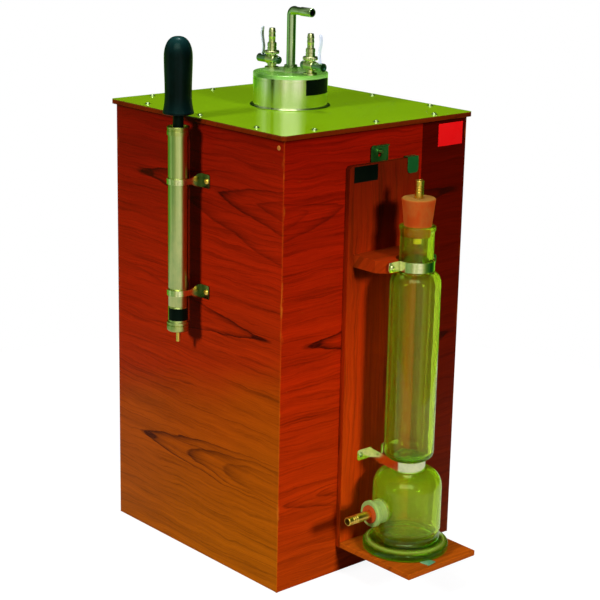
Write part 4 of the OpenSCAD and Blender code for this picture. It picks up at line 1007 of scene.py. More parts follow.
class Form:
    """A shape in millimetres that is built up and then finished as a piece of the frame."""

    def __init__(self) -> None:
        """Starts empty."""
        self.mesh = bmesh.new()

    def take(self, part: bmesh.types.BMesh, place: Matrix = Matrix()) -> "Form":
        """Adds a part after closing its seams and turning its faces outwards.

        Args:
            part: the part, which is used up.
            place: where it goes.

        Returns:
            This form.
        """
        bmesh.ops.remove_doubles(part, verts=part.verts, dist=SEAM)
        bmesh.ops.transform(part, matrix=place, verts=part.verts)
        bmesh.ops.recalc_face_normals(part, faces=part.faces)
        held = bpy.data.meshes.new("held")
        part.to_mesh(held)
        part.free()
        self.mesh.from_mesh(held)
        bpy.data.meshes.remove(held)
        return self

    def turned(
        self,
        outline: Sequence[tuple[float, float]],
        at: Point = (0.0, 0.0, 0.0),
        facing: Facing = Facing.UP,
        steps: int = 72,
        ring: bool = False,
        ribs: Optional[tuple[float, float]] = None,
    ) -> "Form":
        """Adds a turned body.

        Args:
            outline: radii and heights, from axis to axis or round a ring.
            at: where its zero height is.
            facing: where its heights point.
            steps: how many steps go round.
            ring: whether the outline closes on itself.
            ribs: a radius past which every other step is pulled in, and by how much.

        Returns:
            This form.
        """
        part = bmesh.new()
        points = [part.verts.new((r, 0.0, z)) for r, z in outline]
        pairs = list(zip(points, points[1:])) + ([(points[-1], points[0])] if ring else [])
        lines = [part.edges.new(pair) for pair in pairs]
        bmesh.ops.spin(
            part, geom=points + lines, axis=(0, 0, 1), cent=(0, 0, 0),
            angle=math.tau, steps=steps, use_merge=True,
        )
        if ribs:
            for point in part.verts:
                radius = math.hypot(point.co.x, point.co.y)
                turn = round(math.atan2(point.co.y, point.co.x) / math.tau * steps)
                if radius > ribs[0] and turn % 2:
                    bmesh.ops.scale(
                        part, vec=((radius - ribs[1]) / radius,) * 2 + (1.0,), verts=[point]
                    )
        return self.take(part, facing.placed(at))

    def swept(
        self, outline: Sequence[tuple[float, float]], at: Point, start: float, end: float
    ) -> "Form":
        """Adds part of a turned ring about an upright axis.

        Args:
            outline: radii and heights round the ring's section.
            at: where its zero height is.
            start: its first angle in degrees, from +X towards +Y.
            end: its last angle in degrees.

        Returns:
            This form.
        """
        part = bmesh.new()
        points = [part.verts.new((r, 0.0, z)) for r, z in outline]
        bmesh.ops.rotate(
            part, cent=(0, 0, 0), matrix=Matrix.Rotation(math.radians(start), 3, "Z"), verts=points
        )
        lines = [part.edges.new(pair) for pair in zip(points, points[1:] + points[:1])]
        bmesh.ops.spin(
            part, geom=points + lines, axis=(0, 0, 1), cent=(0, 0, 0),
            angle=math.radians(end - start),
            steps=max(4, round(abs(end - start) / 4)),
        )
        bmesh.ops.holes_fill(part, edges=part.edges, sides=0)
        return self.take(part, Matrix.Translation(at))

    def block(self, low: Point, high: Point, rounded: float = 0.0) -> "Form":
        """Adds a block between two corners.

        Args:
            low: its lowest corner.
            high: its highest corner.
            rounded: the radius of its edges.

        Returns:
            This form.
        """
        part = bmesh.new()
        bmesh.ops.create_cube(part, size=1.0)
        bmesh.ops.scale(part, vec=[h - l for l, h in zip(low, high)], verts=part.verts)
        if rounded:
            bmesh.ops.bevel(
                part, geom=part.edges[:], offset=rounded, segments=3, profile=0.5, affect="EDGES",
                material=-1
            )
        return self.take(part, Matrix.Translation([(l + h) / 2 for l, h in zip(low, high)]))

    def slab(self, outline: Sequence[tuple[float, float]], thick: float, place: Matrix) -> "Form":
        """Adds a flat outline thickened along its own Z.

        Args:
            outline: its corners in order.
            thick: how thick it becomes.
            place: where it goes.

        Returns:
            This form.
        """
        part = bmesh.new()
        face = part.faces.new([part.verts.new((x, y, 0.0)) for x, y in outline])
        grown = bmesh.ops.extrude_face_region(part, geom=[face])["geom"]
        bmesh.ops.translate(part, verts=only(bmesh.types.BMVert, grown), vec=(0, 0, thick))
        return self.take(part, place)

    def adopted(self, *nodes: str) -> "Form":
        """Adds merged copies of CAD nodes.

        Args:
            nodes: the nodes' names.

        Returns:
            This form.
        """
        for node in nodes:
            part = bmesh.new()
            part.from_mesh(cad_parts[node].data)
            bmesh.ops.scale(part, vec=(1 / MM,) * 3, verts=part.verts)
            bmesh.ops.remove_doubles(part, verts=part.verts, dist=SEAM)
            bmesh.ops.dissolve_limit(
                part, angle_limit=math.radians(0.6), verts=part.verts, edges=part.edges
            )
            self.take(part)
        return self

    def joined(self, other: "Form", how: Join) -> "Form":
        """Combines this form with another one, which is used up.

        Args:
            other: the other form.
            how: whether it is added or cut out.

        Returns:
            This form.
        """
        held = []
        for form in (self, other):
            data = bpy.data.meshes.new("held")
            form.mesh.to_mesh(data)
            form.mesh.free()
            held.append(linked("held", data))
        tool = held[0].modifiers.new("join", "BOOLEAN")
        tool.operation, tool.solver, tool.object = how.value, "EXACT", held[1]
        result = bpy.data.meshes.new_from_object(
            held[0].evaluated_get(bpy.context.evaluated_depsgraph_get())
        )
        self.mesh = bmesh.new()
        self.mesh.from_mesh(result)
        bmesh.ops.remove_doubles(self.mesh, verts=self.mesh.verts, dist=JOIN_SEAM)
        bmesh.ops.dissolve_degenerate(self.mesh, dist=JOIN_SEAM, edges=self.mesh.edges)
        for item in held:
            data = item.data
            bpy.data.objects.remove(item)
            bpy.data.meshes.remove(data)
        bpy.data.meshes.remove(result)
        return self

    def moved(self, place: Matrix) -> "Form":
        """Moves the whole form, keeping its faces outwards where the move mirrors it.

        Args:
            place: the move.

        Returns:
            This form.
        """
        bmesh.ops.transform(self.mesh, matrix=place, verts=self.mesh.verts)
        if place.determinant() < 0:
            bmesh.ops.reverse_faces(self.mesh, faces=self.mesh.faces)
        return self

    def finish(
        self,
        name: str,
        body: str,
        finish: Finish,
        slot: str,
        stands_for: Sequence[str] = (),
        soften: float = 0.25,
        smooth: float = 32.0,
    ) -> bpy.types.Object:
        """Makes the form a piece that rides on a body.

        Args:
            name: the piece's name.
            body: the CAD body that it moves with.
            finish: its finish.
            slot: the record's material slot, which is not used.
            stands_for: CAD nodes that it replaces.
            soften: radius that sharp edges are rounded to, in millimetres.
            smooth: the angle in degrees up to which faces shade as one.

        Returns:
            The piece.
        """
        bmesh.ops.scale(self.mesh, vec=(MM,) * 3, verts=self.mesh.verts)
        data = bpy.data.meshes.new(name)
        self.mesh.to_mesh(data)
        self.mesh.free()
        data.shade_smooth()
        data.set_sharp_from_angle(angle=math.radians(smooth))
        data.materials.append(finish.material())
        piece = linked(name, data)
        if soften:
            edges = piece.modifiers.new("soft edges", "BEVEL")
            edges.width = soften * MM
            edges.segments = 2
            edges.limit_method = "ANGLE"
            edges.angle_limit = math.radians(smooth)
            edges.harden_normals = True
        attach(piece, body)
        if stands_for:
            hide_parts(*stands_for)
        log.info("%s: %d faces, %s", name, len(data.polygons), finish.name)
        return piece


def redrawn(node: str, name: str, body: str, finish: Finish, slot: str, soften: float) -> None:
    """Makes a piece of a CAD node with softened edges.

    Args:
        node: the CAD node that it replaces.
        name: the piece's name.
        body: the CAD body that it moves with.
        finish: its finish.
        slot: the record's material slot, which is not used.
        soften: radius that sharp edges are rounded to, in millimetres.
    """
    Form().adopted(node).finish(name, body, finish, slot, (node,), soften)


@dataclass(frozen=True)
class Label:
    """A bare label bent round an upright tube.

    low and high are its heights, thick is how far it stands out, and start and end are its angles
    in degrees from +X towards +Y.
    """

    name: str
    low: float
    high: float
    thick: float
    start: float
    end: float
    soften: float

    def build(self, x: float, r: float) -> None:
        """Makes the label.

        Args:
            x: where the tube's axis is from left to right.
            r: the tube's radius.
        """
        proud = r + self.thick
        section = [(r, self.low), (proud, self.low), (proud, self.high), (r, self.high)]
        form = Form().swept(section, (x, 0, 0), self.start, self.end)
        form.finish(self.name, "case", BLACK_LACQUER, "black_metal", soften=self.soften)


def screw_slots(at: Sequence[Point], facing: Facing, width: float, deep: float) -> Form:
    """Gives the cutters for the slots of screw heads.

    Args:
        at: the middle of each head's outer face.
        facing: where the heads point.
        width: how wide a head is.
        deep: how deep the slot goes.

    Returns:
        The cutters as one form.
    """
    cutters = Form()
    for count, point in enumerate(at):
        turn = Matrix.Rotation(math.radians(25 + 67 * count % 180), 4, "Z")
        half, gap = width / 2 + 1, SLOT_HALF
        outline = [(-half, -gap), (half, -gap), (half, gap), (-half, gap)]
        cutters.slab(
            outline, deep + 2, facing.placed(point) @ turn @ Matrix.Translation((0, 0, -deep))
        )
    return cutters


@dataclass
class Viewpoint:
    """The camera, placed as the photograph was taken."""

    azimuth: float = -41.71
    elevation: float = 15.63
    roll: float = 1.19
    place: Point = (-1.1592, -1.3232, 0.7556)
    focal: float = 1652.2
    picture: float = 600.0
    sensor: float = 36.0
    far: float = 30.0

    def build(self) -> None:
        """Makes the camera and gives it to the scene."""
        turn, rise, lean = (math.radians(a) for a in (self.azimuth, self.elevation, self.roll))
        away = Vector(
            (math.sin(turn) * math.cos(rise), -math.cos(turn) * math.cos(rise), math.sin(rise))
        )
        level = Vector((math.cos(turn), math.sin(turn), 0.0))
        upright = away.cross(level)
        right = math.cos(lean) * level + math.sin(lean) * upright
        above = math.cos(lean) * upright - math.sin(lean) * level
        data = bpy.data.cameras.new("camera")
        data.sensor_width = self.sensor
        data.lens = self.sensor * self.focal / self.picture
        data.clip_end = self.far
        camera = linked("camera", data)
        camera.matrix_world = Matrix((*zip(right, above, away, self.place), (0.0, 0.0, 0.0, 1.0)))
        bpy.context.scene.camera = camera


def walls(*stops: tuple[float, float, float, float]) -> tuple[tuple[float, Colour], ...]:
    """Gives the room's walls as a ramp round the object.

    Args:
        stops: azimuths from +X towards +Y in degrees, each with its red, green and blue.

    Returns:
        The ramp's positions and colours.
    """
    return tuple((stop[0] / 360.0 + 0.5, stop[1:]) for stop in stops)


LOWER_WALLS = walls(
    (-180, 0.24, 0.36, 0.18), (-168, 0.25, 0.34, 0.14), (-160, 0.25, 0.30, 0.09),
    (-152, 0.52, 0.54, 0.36), (-145, 0.78, 0.76, 0.60), (-136, 0.54, 0.58, 0.38),
    (-128, 0.50, 0.54, 0.36), (-116, 0.86, 0.84, 0.74), (-100, 0.74, 0.70, 0.60),
    (-90, 0.36, 0.42, 0.16), (-78, 0.12, 0.20, 0.04), (-66, 0.04, 0.11, 0.01),
    (-48, 0.014, 0.075, 0.012), (-28, 0.003, 0.022, 0.004), (-10, 0.005, 0.08, 0.003),
    (4, 0.05, 0.30, 0.01), (20, 0.30, 0.70, 0.04), (60, 0.30, 0.70, 0.04), (90, 0.06, 0.28, 0.006),
    (118, 0.12, 0.34, 0.06), (134, 0.30, 0.50, 0.22), (147, 0.46, 0.60, 0.40),
    (157, 0.18, 0.30, 0.11), (166, 0.13, 0.26, 0.07), (174, 0.22, 0.36, 0.16),
    (180, 0.24, 0.36, 0.18),
)
UPPER_WALLS = walls(
    (-180, 0.20, 0.28, 0.14), (-160, 0.24, 0.30, 0.14), (-150, 0.60, 0.62, 0.50),
    (-106, 0.60, 0.62, 0.50), (-92, 0.20, 0.26, 0.12), (-76, 0.02, 0.04, 0.006),
    (-10, 0.012, 0.03, 0.003), (95, 0.012, 0.03, 0.003), (125, 0.14, 0.22, 0.08),
    (142, 0.34, 0.42, 0.28), (156, 0.10, 0.16, 0.06), (180, 0.20, 0.28, 0.14),
)


CEILING_HEIGHTS = ((0.75, 0.0), (0.90, 1.0))
WINDOW_HEIGHTS = ((0.40, 0.0), (0.46, 1.0), (0.78, 1.0), (0.84, 0.0))
WINDOW_WIDTH = ((0.03, 0.0), (0.045, 1.0), (0.185, 1.0), (0.20, 0.0))
CEILING = (0.22, 0.26, 0.16)
WINDOW = (4.2, 4.4, 3.6)


@dataclass(frozen=True)
class Lamp:
    """A soft square lamp that hangs in a direction and is aimed at the object.

    power is in watts, and mirrored says whether gloss and metal show the lamp.
    """

    name: str
    towards: Point
    power: float
    mirrored: bool = False
    aim_z: float = 0.25
    reach: float = 2.5
    size: float = 0.42

    def build(self) -> None:
        """Hangs the lamp."""
        data = bpy.data.lights.new(self.name, "AREA")
        data.shape, data.size, data.energy = "SQUARE", self.size, self.power
        item = linked(self.name, data)
        aim = Vector(self.towards).normalized()
        item.location = aim * self.reach + Vector((0, 0, self.aim_z))
        item.rotation_euler = aim.to_track_quat("Z", "Y").to_euler()
        item.visible_glossy = self.mirrored


@dataclass
class Studio:
    """Pale floor, four soft lamps and the room that gloss and metal reflect."""

    floor_r: float = 0.75
    floor_tones: tuple[Colour, Colour] = ((0.15, 0.15, 0.15), (0.18, 0.18, 0.18))
    lamps: tuple[Lamp, ...] = (
        Lamp("left_lamp", (-0.92, 0.0, 0.42), 54.0),
        Lamp("front_lamp", (-0.06, -0.94, 0.38), 53.0),
        Lamp("back_lamp", (0.70, 0.66, 0.30), 20.0),
        Lamp("top_lamp", (0.10, 0.15, 1.0), 24.0, mirrored=True),
    )
    fill: float = 0.04
    floor_glow: float = 0.90

    def room(self) -> None:
        """Makes the world: white to the camera and through glass, light and dark in reflections."""
        world = bpy.data.worlds.new("room")
        bpy.context.scene.world = world
        graph = Graph(world)
        camera, mirrored, through = graph.rays()
        direction = graph.add("ShaderNodeTexCoord", out="Generated")
        x, y, z = graph.parts(direction)
        turn = graph.add("ShaderNodeMath", {"operation": "ARCTAN2"}, {0: y, 1: x}) / math.tau + 0.5
        round_about = graph.blend(
            (z * 12.0 + 0.5).clipped(), graph.ramp(turn, LOWER_WALLS), graph.ramp(turn, UPPER_WALLS)
        )
        round_about = graph.blend(graph.shades(z, CEILING_HEIGHTS), round_about, CEILING)
        window = graph.shades(z, WINDOW_HEIGHTS) * graph.shades(turn, WINDOW_WIDTH)
        round_about = graph.blend(window, round_about, WINDOW)
        seen = graph.blend(mirrored, (self.fill,) * 3, round_about)
        colour = graph.blend(camera.above(through), seen, (1.0, 1.0, 1.0))
        light = graph.add("ShaderNodeBackground", {}, {"Color": colour, "Strength": 1.0})
        graph.add("ShaderNodeOutputWorld", {}, {"Surface": light})

    def floor(self) -> None:
        """Lays a round pale floor that looks white and keeps the object's shadow."""
        part = bmesh.new()
        bmesh.ops.create_circle(part, cap_ends=True, radius=self.floor_r, segments=96)
        data = bpy.data.meshes.new("floor")
        part.to_mesh(data)
        part.free()
        piece = linked("floor", data)
        material = bpy.data.materials.new("floor_paint")
        graph = Graph(material)
        camera, mirrored, through = graph.rays()
        seen = camera.above(mirrored * 0.5).above(through)
        grain = graph.noise(graph.place((0.02, 0.02, 0.02)), 3.0)
        tone = graph.blend(grain, *self.floor_tones)
        paint = graph.add("ShaderNodeBsdfDiffuse", {}, {"Color": tone})
        glow = graph.add(
            "ShaderNodeEmission", {}, {"Color": (1.0, 1.0, 1.0), "Strength": seen * self.floor_glow}
        )
        both = graph.add("ShaderNodeAddShader", {}, {0: paint, 1: glow})
        graph.add("ShaderNodeOutputMaterial", {}, {"Surface": both})
        data.materials.append(material)

    def build(self) -> None:
        """Sets up lamps, room and floor."""
        bpy.context.scene.view_settings.view_transform = "Standard"
        for lamp in self.lamps:
            lamp.build()
        self.room()
        self.floor()


@dataclass
class CaseShell:
    """The veneered case, its floor and corner battens."""

    width: float = 2 * CASE_HALF_WIDTH
    depth: float = 2 * CASE_HALF_DEPTH
    height: float = CASE_TOP
    panel: float = 12.0
    corner: float = 0.9
    nail_at: Point = (-CASE_HALF_WIDTH, -131.0, 466.5)
    card_low: Point = (85.0, -139.5, 446.5)
    card_high: Point = (121.5, -138.9, 470.5)

    def shell(self) -> None:
        """Makes the four panels as one veneered shell with softened corners."""
        part = bmesh.new()
        bmesh.ops.create_cube(part, size=1.0)
        bmesh.ops.scale(part, vec=(self.width, self.depth, self.height), verts=part.verts)
        ends = [f for f in part.faces if abs(f.normal.z) > 0.5]
        bmesh.ops.delete(part, geom=ends, context="FACES_ONLY")
        upright = [e for e in part.edges if abs(e.verts[0].co.z - e.verts[1].co.z) > 1]
        bmesh.ops.bevel(
            part, geom=upright, offset=self.corner, segments=3, profile=0.5, affect="EDGES",
            material=-1
        )
        bmesh.ops.recalc_face_normals(part, faces=part.faces)
        bmesh.ops.solidify(part, geom=part.faces[:], thickness=self.panel)
        shell = Form().take(part, Matrix.Translation((0, 0, self.height / 2)))
        shell.finish(
            "case_shell", "case", CASE_VENEER, "veneer",
            ("case_front", "case_back", "case_left", "case_right"), soften=0.5,
        )

    def nail(self) -> None:
        """Makes the small brass nail head near the front corner of the left face."""
        head = [(0.0, 0.7), (1.3, 0.6), (2.3, 0.25), (2.6, -0.6), (0.0, -0.6)]
        nail = Form().turned(head, self.nail_at, Facing.LEFT, 24)
        nail.finish("corner_nail", "case", DULL_BRASS, "brass", soften=0.0)

    def sticker(self) -> None:
        """Makes the bare red card on the front face's upper right."""
        card = Form().block(self.card_low, self.card_high, 0.12)
        card.finish("inspection_card", "case", RED_CARD, "veneer", soften=0.0)

    def build(self) -> None:
        """Makes the case."""
        self.shell()
        self.nail()
        self.sticker()
        BARE_WOOD.dress("case_floor", "corner_battens")
        STEEL.dress("hanger_peg")


@dataclass
class Lid:
    """The thin overhanging lid with its laminate and screws."""

    top: float = 480.0
    screw_d: float = 6.0
    screw_h: float = 0.35
    slot_deep: float = 1.1
    line_x: float = 122.0
    line_y: float = 133.0
    pitch_x: float = 84.0
    pitch_y: float = 90.0

    def build(self) -> None:
        """Makes the board, the laminate and the screws."""
        redrawn("lid_board", "lid_panel", "case", LID_VENEER, "veneer", 0.8)
        redrawn("lid_laminate", "lid_top", "case", GREEN_LAMINATE, "laminate", 0.25)
        spots = [(x * self.pitch_x, y * self.line_y) for x in (-1, 0, 1) for y in (-1, 1)]
        spots += [(x * self.line_x, y * self.pitch_y) for y in (-1, 0, 1) for x in (-1, 1)]
        high = self.top + self.screw_d * self.screw_h
        slots = screw_slots(
            [(x, y, high) for x, y in spots], Facing.UP, self.screw_d, self.slot_deep
        )
        screws = Form().adopted("lid_screws").joined(slots, Join.CUT)
        screws.finish("lid_screw_heads", "case", STEEL, "steel", ("lid_screws",), 0.08)


@dataclass
class AirVessel:
    """The vessel inside the case with its lagging and pads."""

    def build(self) -> None:
        """Dresses the nodes that stay inside."""
        NICKEL.dress("vessel_shell")
        FELT.dress("vessel_lagging")
        CORK.dress("base_pad", "top_pad")


@dataclass
class Neck:
    """The plated neck with its collar, cap and bare label."""

    radius: float = 40.0
    wall: float = 1.6
    base: float = 410.0
    cap: float = 512.0
    label: Label = Label("neck_label", 495.5, 511.5, 0.35, -106.7, -53.7, 0.1)

    def build(self) -> None:
        """Makes the neck's pieces."""
        inner = self.radius - self.wall
        sleeve = [(inner, self.base), (self.radius, self.base)]
        sleeve += [(self.radius, self.cap - 3.2), (self.radius - 0.35, self.cap - 2.9)]
        sleeve += [(self.radius - 0.35, self.cap - 2.3), (self.radius, self.cap - 2.0)]
        sleeve += [(self.radius, self.cap), (inner, self.cap)]
        Form().turned(sleeve, steps=128, ring=True).finish(
            "neck_sleeve", "case", NECK_NICKEL, "nickel", ("neck_tube",), 0.0, 40.0
        )
        redrawn("neck_cap", "neck_lid", "case", CAP_NICKEL, "nickel", 0.2)
        redrawn("neck_collar", "neck_ring", "case", NECK_NICKEL, "nickel", 0.0)
        self.label.build(0.0, self.radius)


@dataclass
class Vent:
    """The L-shaped vent tube in its gland nut."""

    radius: float = 4.8
    bore: float = 3.2
    low: float = 492.0
    high: float = 580.5
    arm: float = 33.0
    arm_r: float = 4.2
    sleeve_r: float = 4.7
    sleeve_l: float = 17.0
    bend: float = 4.9
    taper: float = 4.0

    def tube(self) -> None:
        """Makes the tube: a straight run, a tight elbow and an arm with a thicker sleeve."""
        part = bmesh.new()
        ends: list[list[bmesh.types.BMEdge]] = []
        for r in (self.radius, self.bore):
            ring = bmesh.ops.create_circle(
                part, radius=r, segments=48, matrix=Matrix.Translation((0, 0, self.low))
            )["verts"]
            lines = list({e for v in ring for e in v.link_edges})
            ends.append(lines)
            for step in range(3):
                grown = bmesh.ops.extrude_edge_only(part, edges=lines)["geom"]
                moved = only(bmesh.types.BMVert, grown)
                lines = only(bmesh.types.BMEdge, grown)
                if step == 0:
                    bmesh.ops.translate(
                        part, verts=moved, vec=(0, 0, self.high - self.bend - self.low)
                    )
                    turned = bmesh.ops.spin(
                        part, geom=moved + lines, axis=(1, 0, 0),
                        cent=(0, -self.bend, self.high - self.bend), angle=math.pi / 2, steps=10,
                    )["geom_last"]
                    lines = only(bmesh.types.BMEdge, turned)
                elif step == 1:
                    bmesh.ops.translate(part, verts=moved, vec=(0, -self.taper, 0))
                    if r > self.bore:
                        size = self.arm_r / self.radius
                        spot = Matrix.Translation((0, self.taper + self.bend, -self.high))
                        bmesh.ops.scale(part, vec=(size, 1, size), space=spot, verts=moved)
                else:
                    bmesh.ops.translate(
                        part, verts=moved, vec=(0, self.taper + self.bend - self.arm, 0)
                    )
            ends.append(lines)
        bmesh.ops.bridge_loops(part, edges=ends[0] + ends[2])
        bmesh.ops.bridge_loops(part, edges=ends[1] + ends[3])
        tube = Form().take(part)
        sleeve = [
            (self.arm_r - 0.1, 0.0), (self.sleeve_r, 0.0), (self.sleeve_r, self.sleeve_l - 0.8),
            (self.sleeve_r - 0.5, self.sleeve_l), (self.arm_r - 0.1, self.sleeve_l),
        ]
        start = (0.0, self.sleeve_l - self.arm, self.high)
        tube.turned(sleeve, start, Facing.FRONT, 48, ring=True)
        tube.finish("vent_pipe", "vent", NICKEL, "nickel", ("vent_tube",), 0.2)

    def build(self) -> None:
        """Makes the tube and the gland."""
        self.tube()
        redrawn("vent_gland", "gland_nut", "case", DARK_NICKEL, "nickel", 0.35)
        BRASS.dress("vent_seat")


@dataclass
class Tap:
    """A small plug tap on the neck's cap: flange, stem, barrel, knurled collar and hose nozzle."""

    side: Side
    name: str
    across: float = 31.0
    base: float = 516.0
    bore: float = 1.6
    flange_r: float = 7.6
    stem_r: float = 4.7
    plug_z: float = 9.5
    barrel_r: float = 5.4
    barrel_l: float = 13.0
    plug_r: float = 3.4
    collar_r: float = 8.0
    collar_z: float = 15.5
    collar_t: float = 3.5
    nozzle_h: float = 24.0
    nozzle_r: float = 3.6
    barb_r: float = 3.9

    def place(self) -> Matrix:
        """Gives the tap's place on the cap; the back one is the front one mirrored."""
        flip = Matrix.Diagonal((1.0, -float(self.side.value), 1.0, 1.0))
        return Matrix.Translation((0, self.side.value * self.across, self.base)) @ flip

    def body(self) -> None:
        """Makes the body with its bored way and cross barrel."""
        low, h = self.collar_z + self.collar_t, self.nozzle_h
        ferrule = self.nozzle_r + 1.4
        flange = [
            (self.bore, 0.0), (self.flange_r, 0.0), (self.flange_r, 1.6),
            (self.flange_r - 0.6, 2.0), (self.stem_r + 0.4, 2.0), (self.stem_r, 2.4),
            (self.stem_r, self.collar_z + 0.2), (self.bore, self.collar_z + 0.2),
        ]
        nozzle = [
            (self.bore, low - 0.2), (ferrule, low - 0.2), (ferrule, low + h * 0.14),
            (ferrule - 0.35, low + h * 0.155), (ferrule - 0.35, low + h * 0.18),
            (ferrule, low + h * 0.195), (ferrule, low + h * 0.33), (ferrule - 0.8, low + h * 0.37),
            (self.nozzle_r, low + h * 0.38), (self.nozzle_r, low + h * 0.6),
            (self.barb_r, low + h * 0.62), (self.nozzle_r - 0.1, low + h * 0.76),
            (self.nozzle_r - 0.1, low + h * 0.78), (self.barb_r, low + h * 0.8),
            (self.nozzle_r - 0.4, low + h * 0.98), (self.nozzle_r - 0.6, low + h),
            (self.bore, low + h),
        ]
        collar = [
            (self.bore, self.collar_z), (self.collar_r - 0.5, self.collar_z),
            (self.collar_r, self.collar_z + 0.5), (self.collar_r, low - 0.5),
            (self.collar_r - 0.5, low), (self.bore, low),
        ]
        half = self.barrel_l / 2
        barrel = [(0.0, -half), (self.barrel_r - 0.5, -half), (self.barrel_r, -half + 0.5)]
        barrel += [(self.barrel_r, half - 0.5), (self.barrel_r - 0.5, half), (0.0, half)]
        way = [
            (0.0, -half - 1), (self.plug_r + 0.03, -half - 1), (self.plug_r + 0.03, half + 1),
            (0.0, half + 1),
        ]
        middle = (0.0, 0.0, self.plug_z)
        form = Form().turned(flange, steps=48, ring=True)
        form.joined(Form().turned(barrel, middle, Facing.FRONT, 48), Join.UNITE)
        form.joined(Form().turned(way, middle, Facing.FRONT, 48), Join.CUT)
        form.turned(collar, steps=56, ring=True, ribs=(self.collar_r - 0.2, 0.45))
        form.turned(nozzle, steps=48, ring=True)
        node = f"{self.name}_body"
        form.moved(self.place()).finish(
            f"{self.name}_casting", "case", TAP_NICKEL, "nickel", (node,), 0.12
        )

    def build(self) -> None:
        """Makes the body, plug, lever and nut."""
        self.body()
        for part, finish, slot, soft in (
            ("plug", PLUG_NICKEL, "brass", 0.15), ("lever", LEVER_NICKEL, "nickel", 0.3),
            ("nut", PLUG_NICKEL, "nickel", 0.3)
        ):
            node = f"{self.name}_{part}"
            redrawn(node, f"{node}_piece", self.name, finish, slot, soft)


@dataclass
class Pump:
    """The hand pump: barrel with foot and collar, rubber grip, clips and works."""

    x: float = -150.0
    radius: float = 10.5
    bore: float = 9.6
    barrel_low: float = 260.0
    barrel_high: float = 470.0
    foot: float = 256.0
    foot_h: float = 10.5
    foot_r: float = 11.8
    grip_low: float = 484.5
    grip_l: float = 78.0
    skirt_r: float = 16.0
    waist_r: float = 13.8
    bulge_r: float = 14.6
    rod_r: float = 5.5
    grip_bore: float = 46.8
    label: Label = Label("barrel_label", 268.5, 281.5, 0.25, 168.0, 296.0, 0.08)
    groove_low: float = 282.6
    groove_high: float = 283.6
    groove_deep: float = 0.2
    clip_heights: tuple[float, float] = (415.5, 298.0)
    clip_reach: float = 20.43
    screw_face: float = -131.5
    screw_d: float = 7.0
    slot_deep: float = 1.1

    def grip(self) -> None:
        """Makes the rubber grip with its flared skirt and domed end."""
        l = self.grip_l
        outline = [(self.rod_r + 0.15, 0.0), (self.skirt_r - 1.2, 0.0)]
        outline += arc(self.skirt_r - 1.0, 1.0, 1.0, -90, 0, 4)
        for i in range(21):
            flare = (1 - i / 20) ** 2.4
            radius = self.waist_r + (self.skirt_r - self.waist_r) * flare
            outline.append((radius, 1.6 + (l * 0.26 - 1.6) * i / 20))
        outline += ease(self.waist_r, l * 0.28, self.bulge_r, l * 0.72, 14)
        for i in range(1, 25):
            a = math.radians(90 * i / 24)
            outline.append(
                (self.bulge_r * max(0.0, math.cos(a)) ** 0.78, l * 0.74 + l * 0.26 * math.sin(a))
            )
        outline += [
            (0.0, self.grip_bore), (self.rod_r + 0.15, self.grip_bore), (self.rod_r + 0.15, 0.0)
        ]
        Form().turned(outline[:-1], (self.x, 0, self.grip_low), steps=64, ring=False).finish(
            "grip_handle", "pump_plunger", GRIP_RUBBER, "black_rubber", ("pump_grip",), 0.0, 40.0
        )

    def barrel(self) -> None:
        """Makes the barrel with a turned groove and its bare black label."""
        r, low, high = self.radius, self.groove_low, self.groove_high
        floor = r - self.groove_deep
        wall = [(self.bore, self.barrel_low), (r, self.barrel_low)]
        wall += [(r, low), (floor, low + 0.3), (floor, high - 0.3), (r, high)]
        wall += [(r, self.barrel_high), (self.bore, self.barrel_high)]
        Form().turned(wall, (self.x, 0, 0), steps=96, ring=True).finish(
            "barrel_tube", "case", BARREL_NICKEL, "nickel", ("pump_barrel",), 0.0, 40.0
        )
        self.label.build(self.x, r)

    def cap(self) -> None:
        """Makes the foot cap with a turned groove."""
        r, h, gap = self.foot_r, self.foot_h, self.radius + 0.1
        outline = [(2.05, 0.0), (r - 2.5, 0.0)] + arc(r - 2.5, 2.5, 2.5, -90, 0, 8)
        outline += [(r, 6.4), (r - 0.5, 6.8), (r - 0.5, 7.3), (r, 7.7), (r, h - 0.6), (r - 0.6, h)]
        outline += [(gap, h), (gap, 4.0), (2.05, 4.0)]
        Form().turned(outline, (self.x, 0, self.foot), steps=80, ring=True).finish(
            "foot_cap", "case", BARREL_NICKEL, "nickel", ("pump_foot",), 0.0, 40.0
        )

    def build(self) -> None:
        """Makes the pump's visible pieces and dresses its works."""
        self.grip()
        self.barrel()
        self.cap()
        redrawn("pump_collar", "barrel_collar", "case", BARREL_NICKEL, "nickel", 0.15)
        redrawn("pump_nozzle", "foot_nozzle", "case", BRASS, "brass", 0.15)
        for where in ("upper", "lower"):
            redrawn(f"pump_clip_{where}", f"saddle_{where}", "case", SADDLE_NICKEL, "nickel", 0.35)
        reach = self.clip_reach
        spots = [(self.screw_face, y, z) for z in self.clip_heights for y in (-reach, reach)]
        slots = screw_slots(spots, Facing.LEFT, self.screw_d, self.slot_deep)
        screws = Form().adopted("clip_screws").joined(slots, Join.CUT)
        screws.finish("saddle_screws", "case", BRASS, "brass", ("clip_screws",), 0.1)
        BLACK_LACQUER.dress("pump_rod")
        BRASS.dress("pump_guide", "pump_piston")
        LEATHER.dress("pump_cup")
        STEEL.dress("pump_piston_nut")


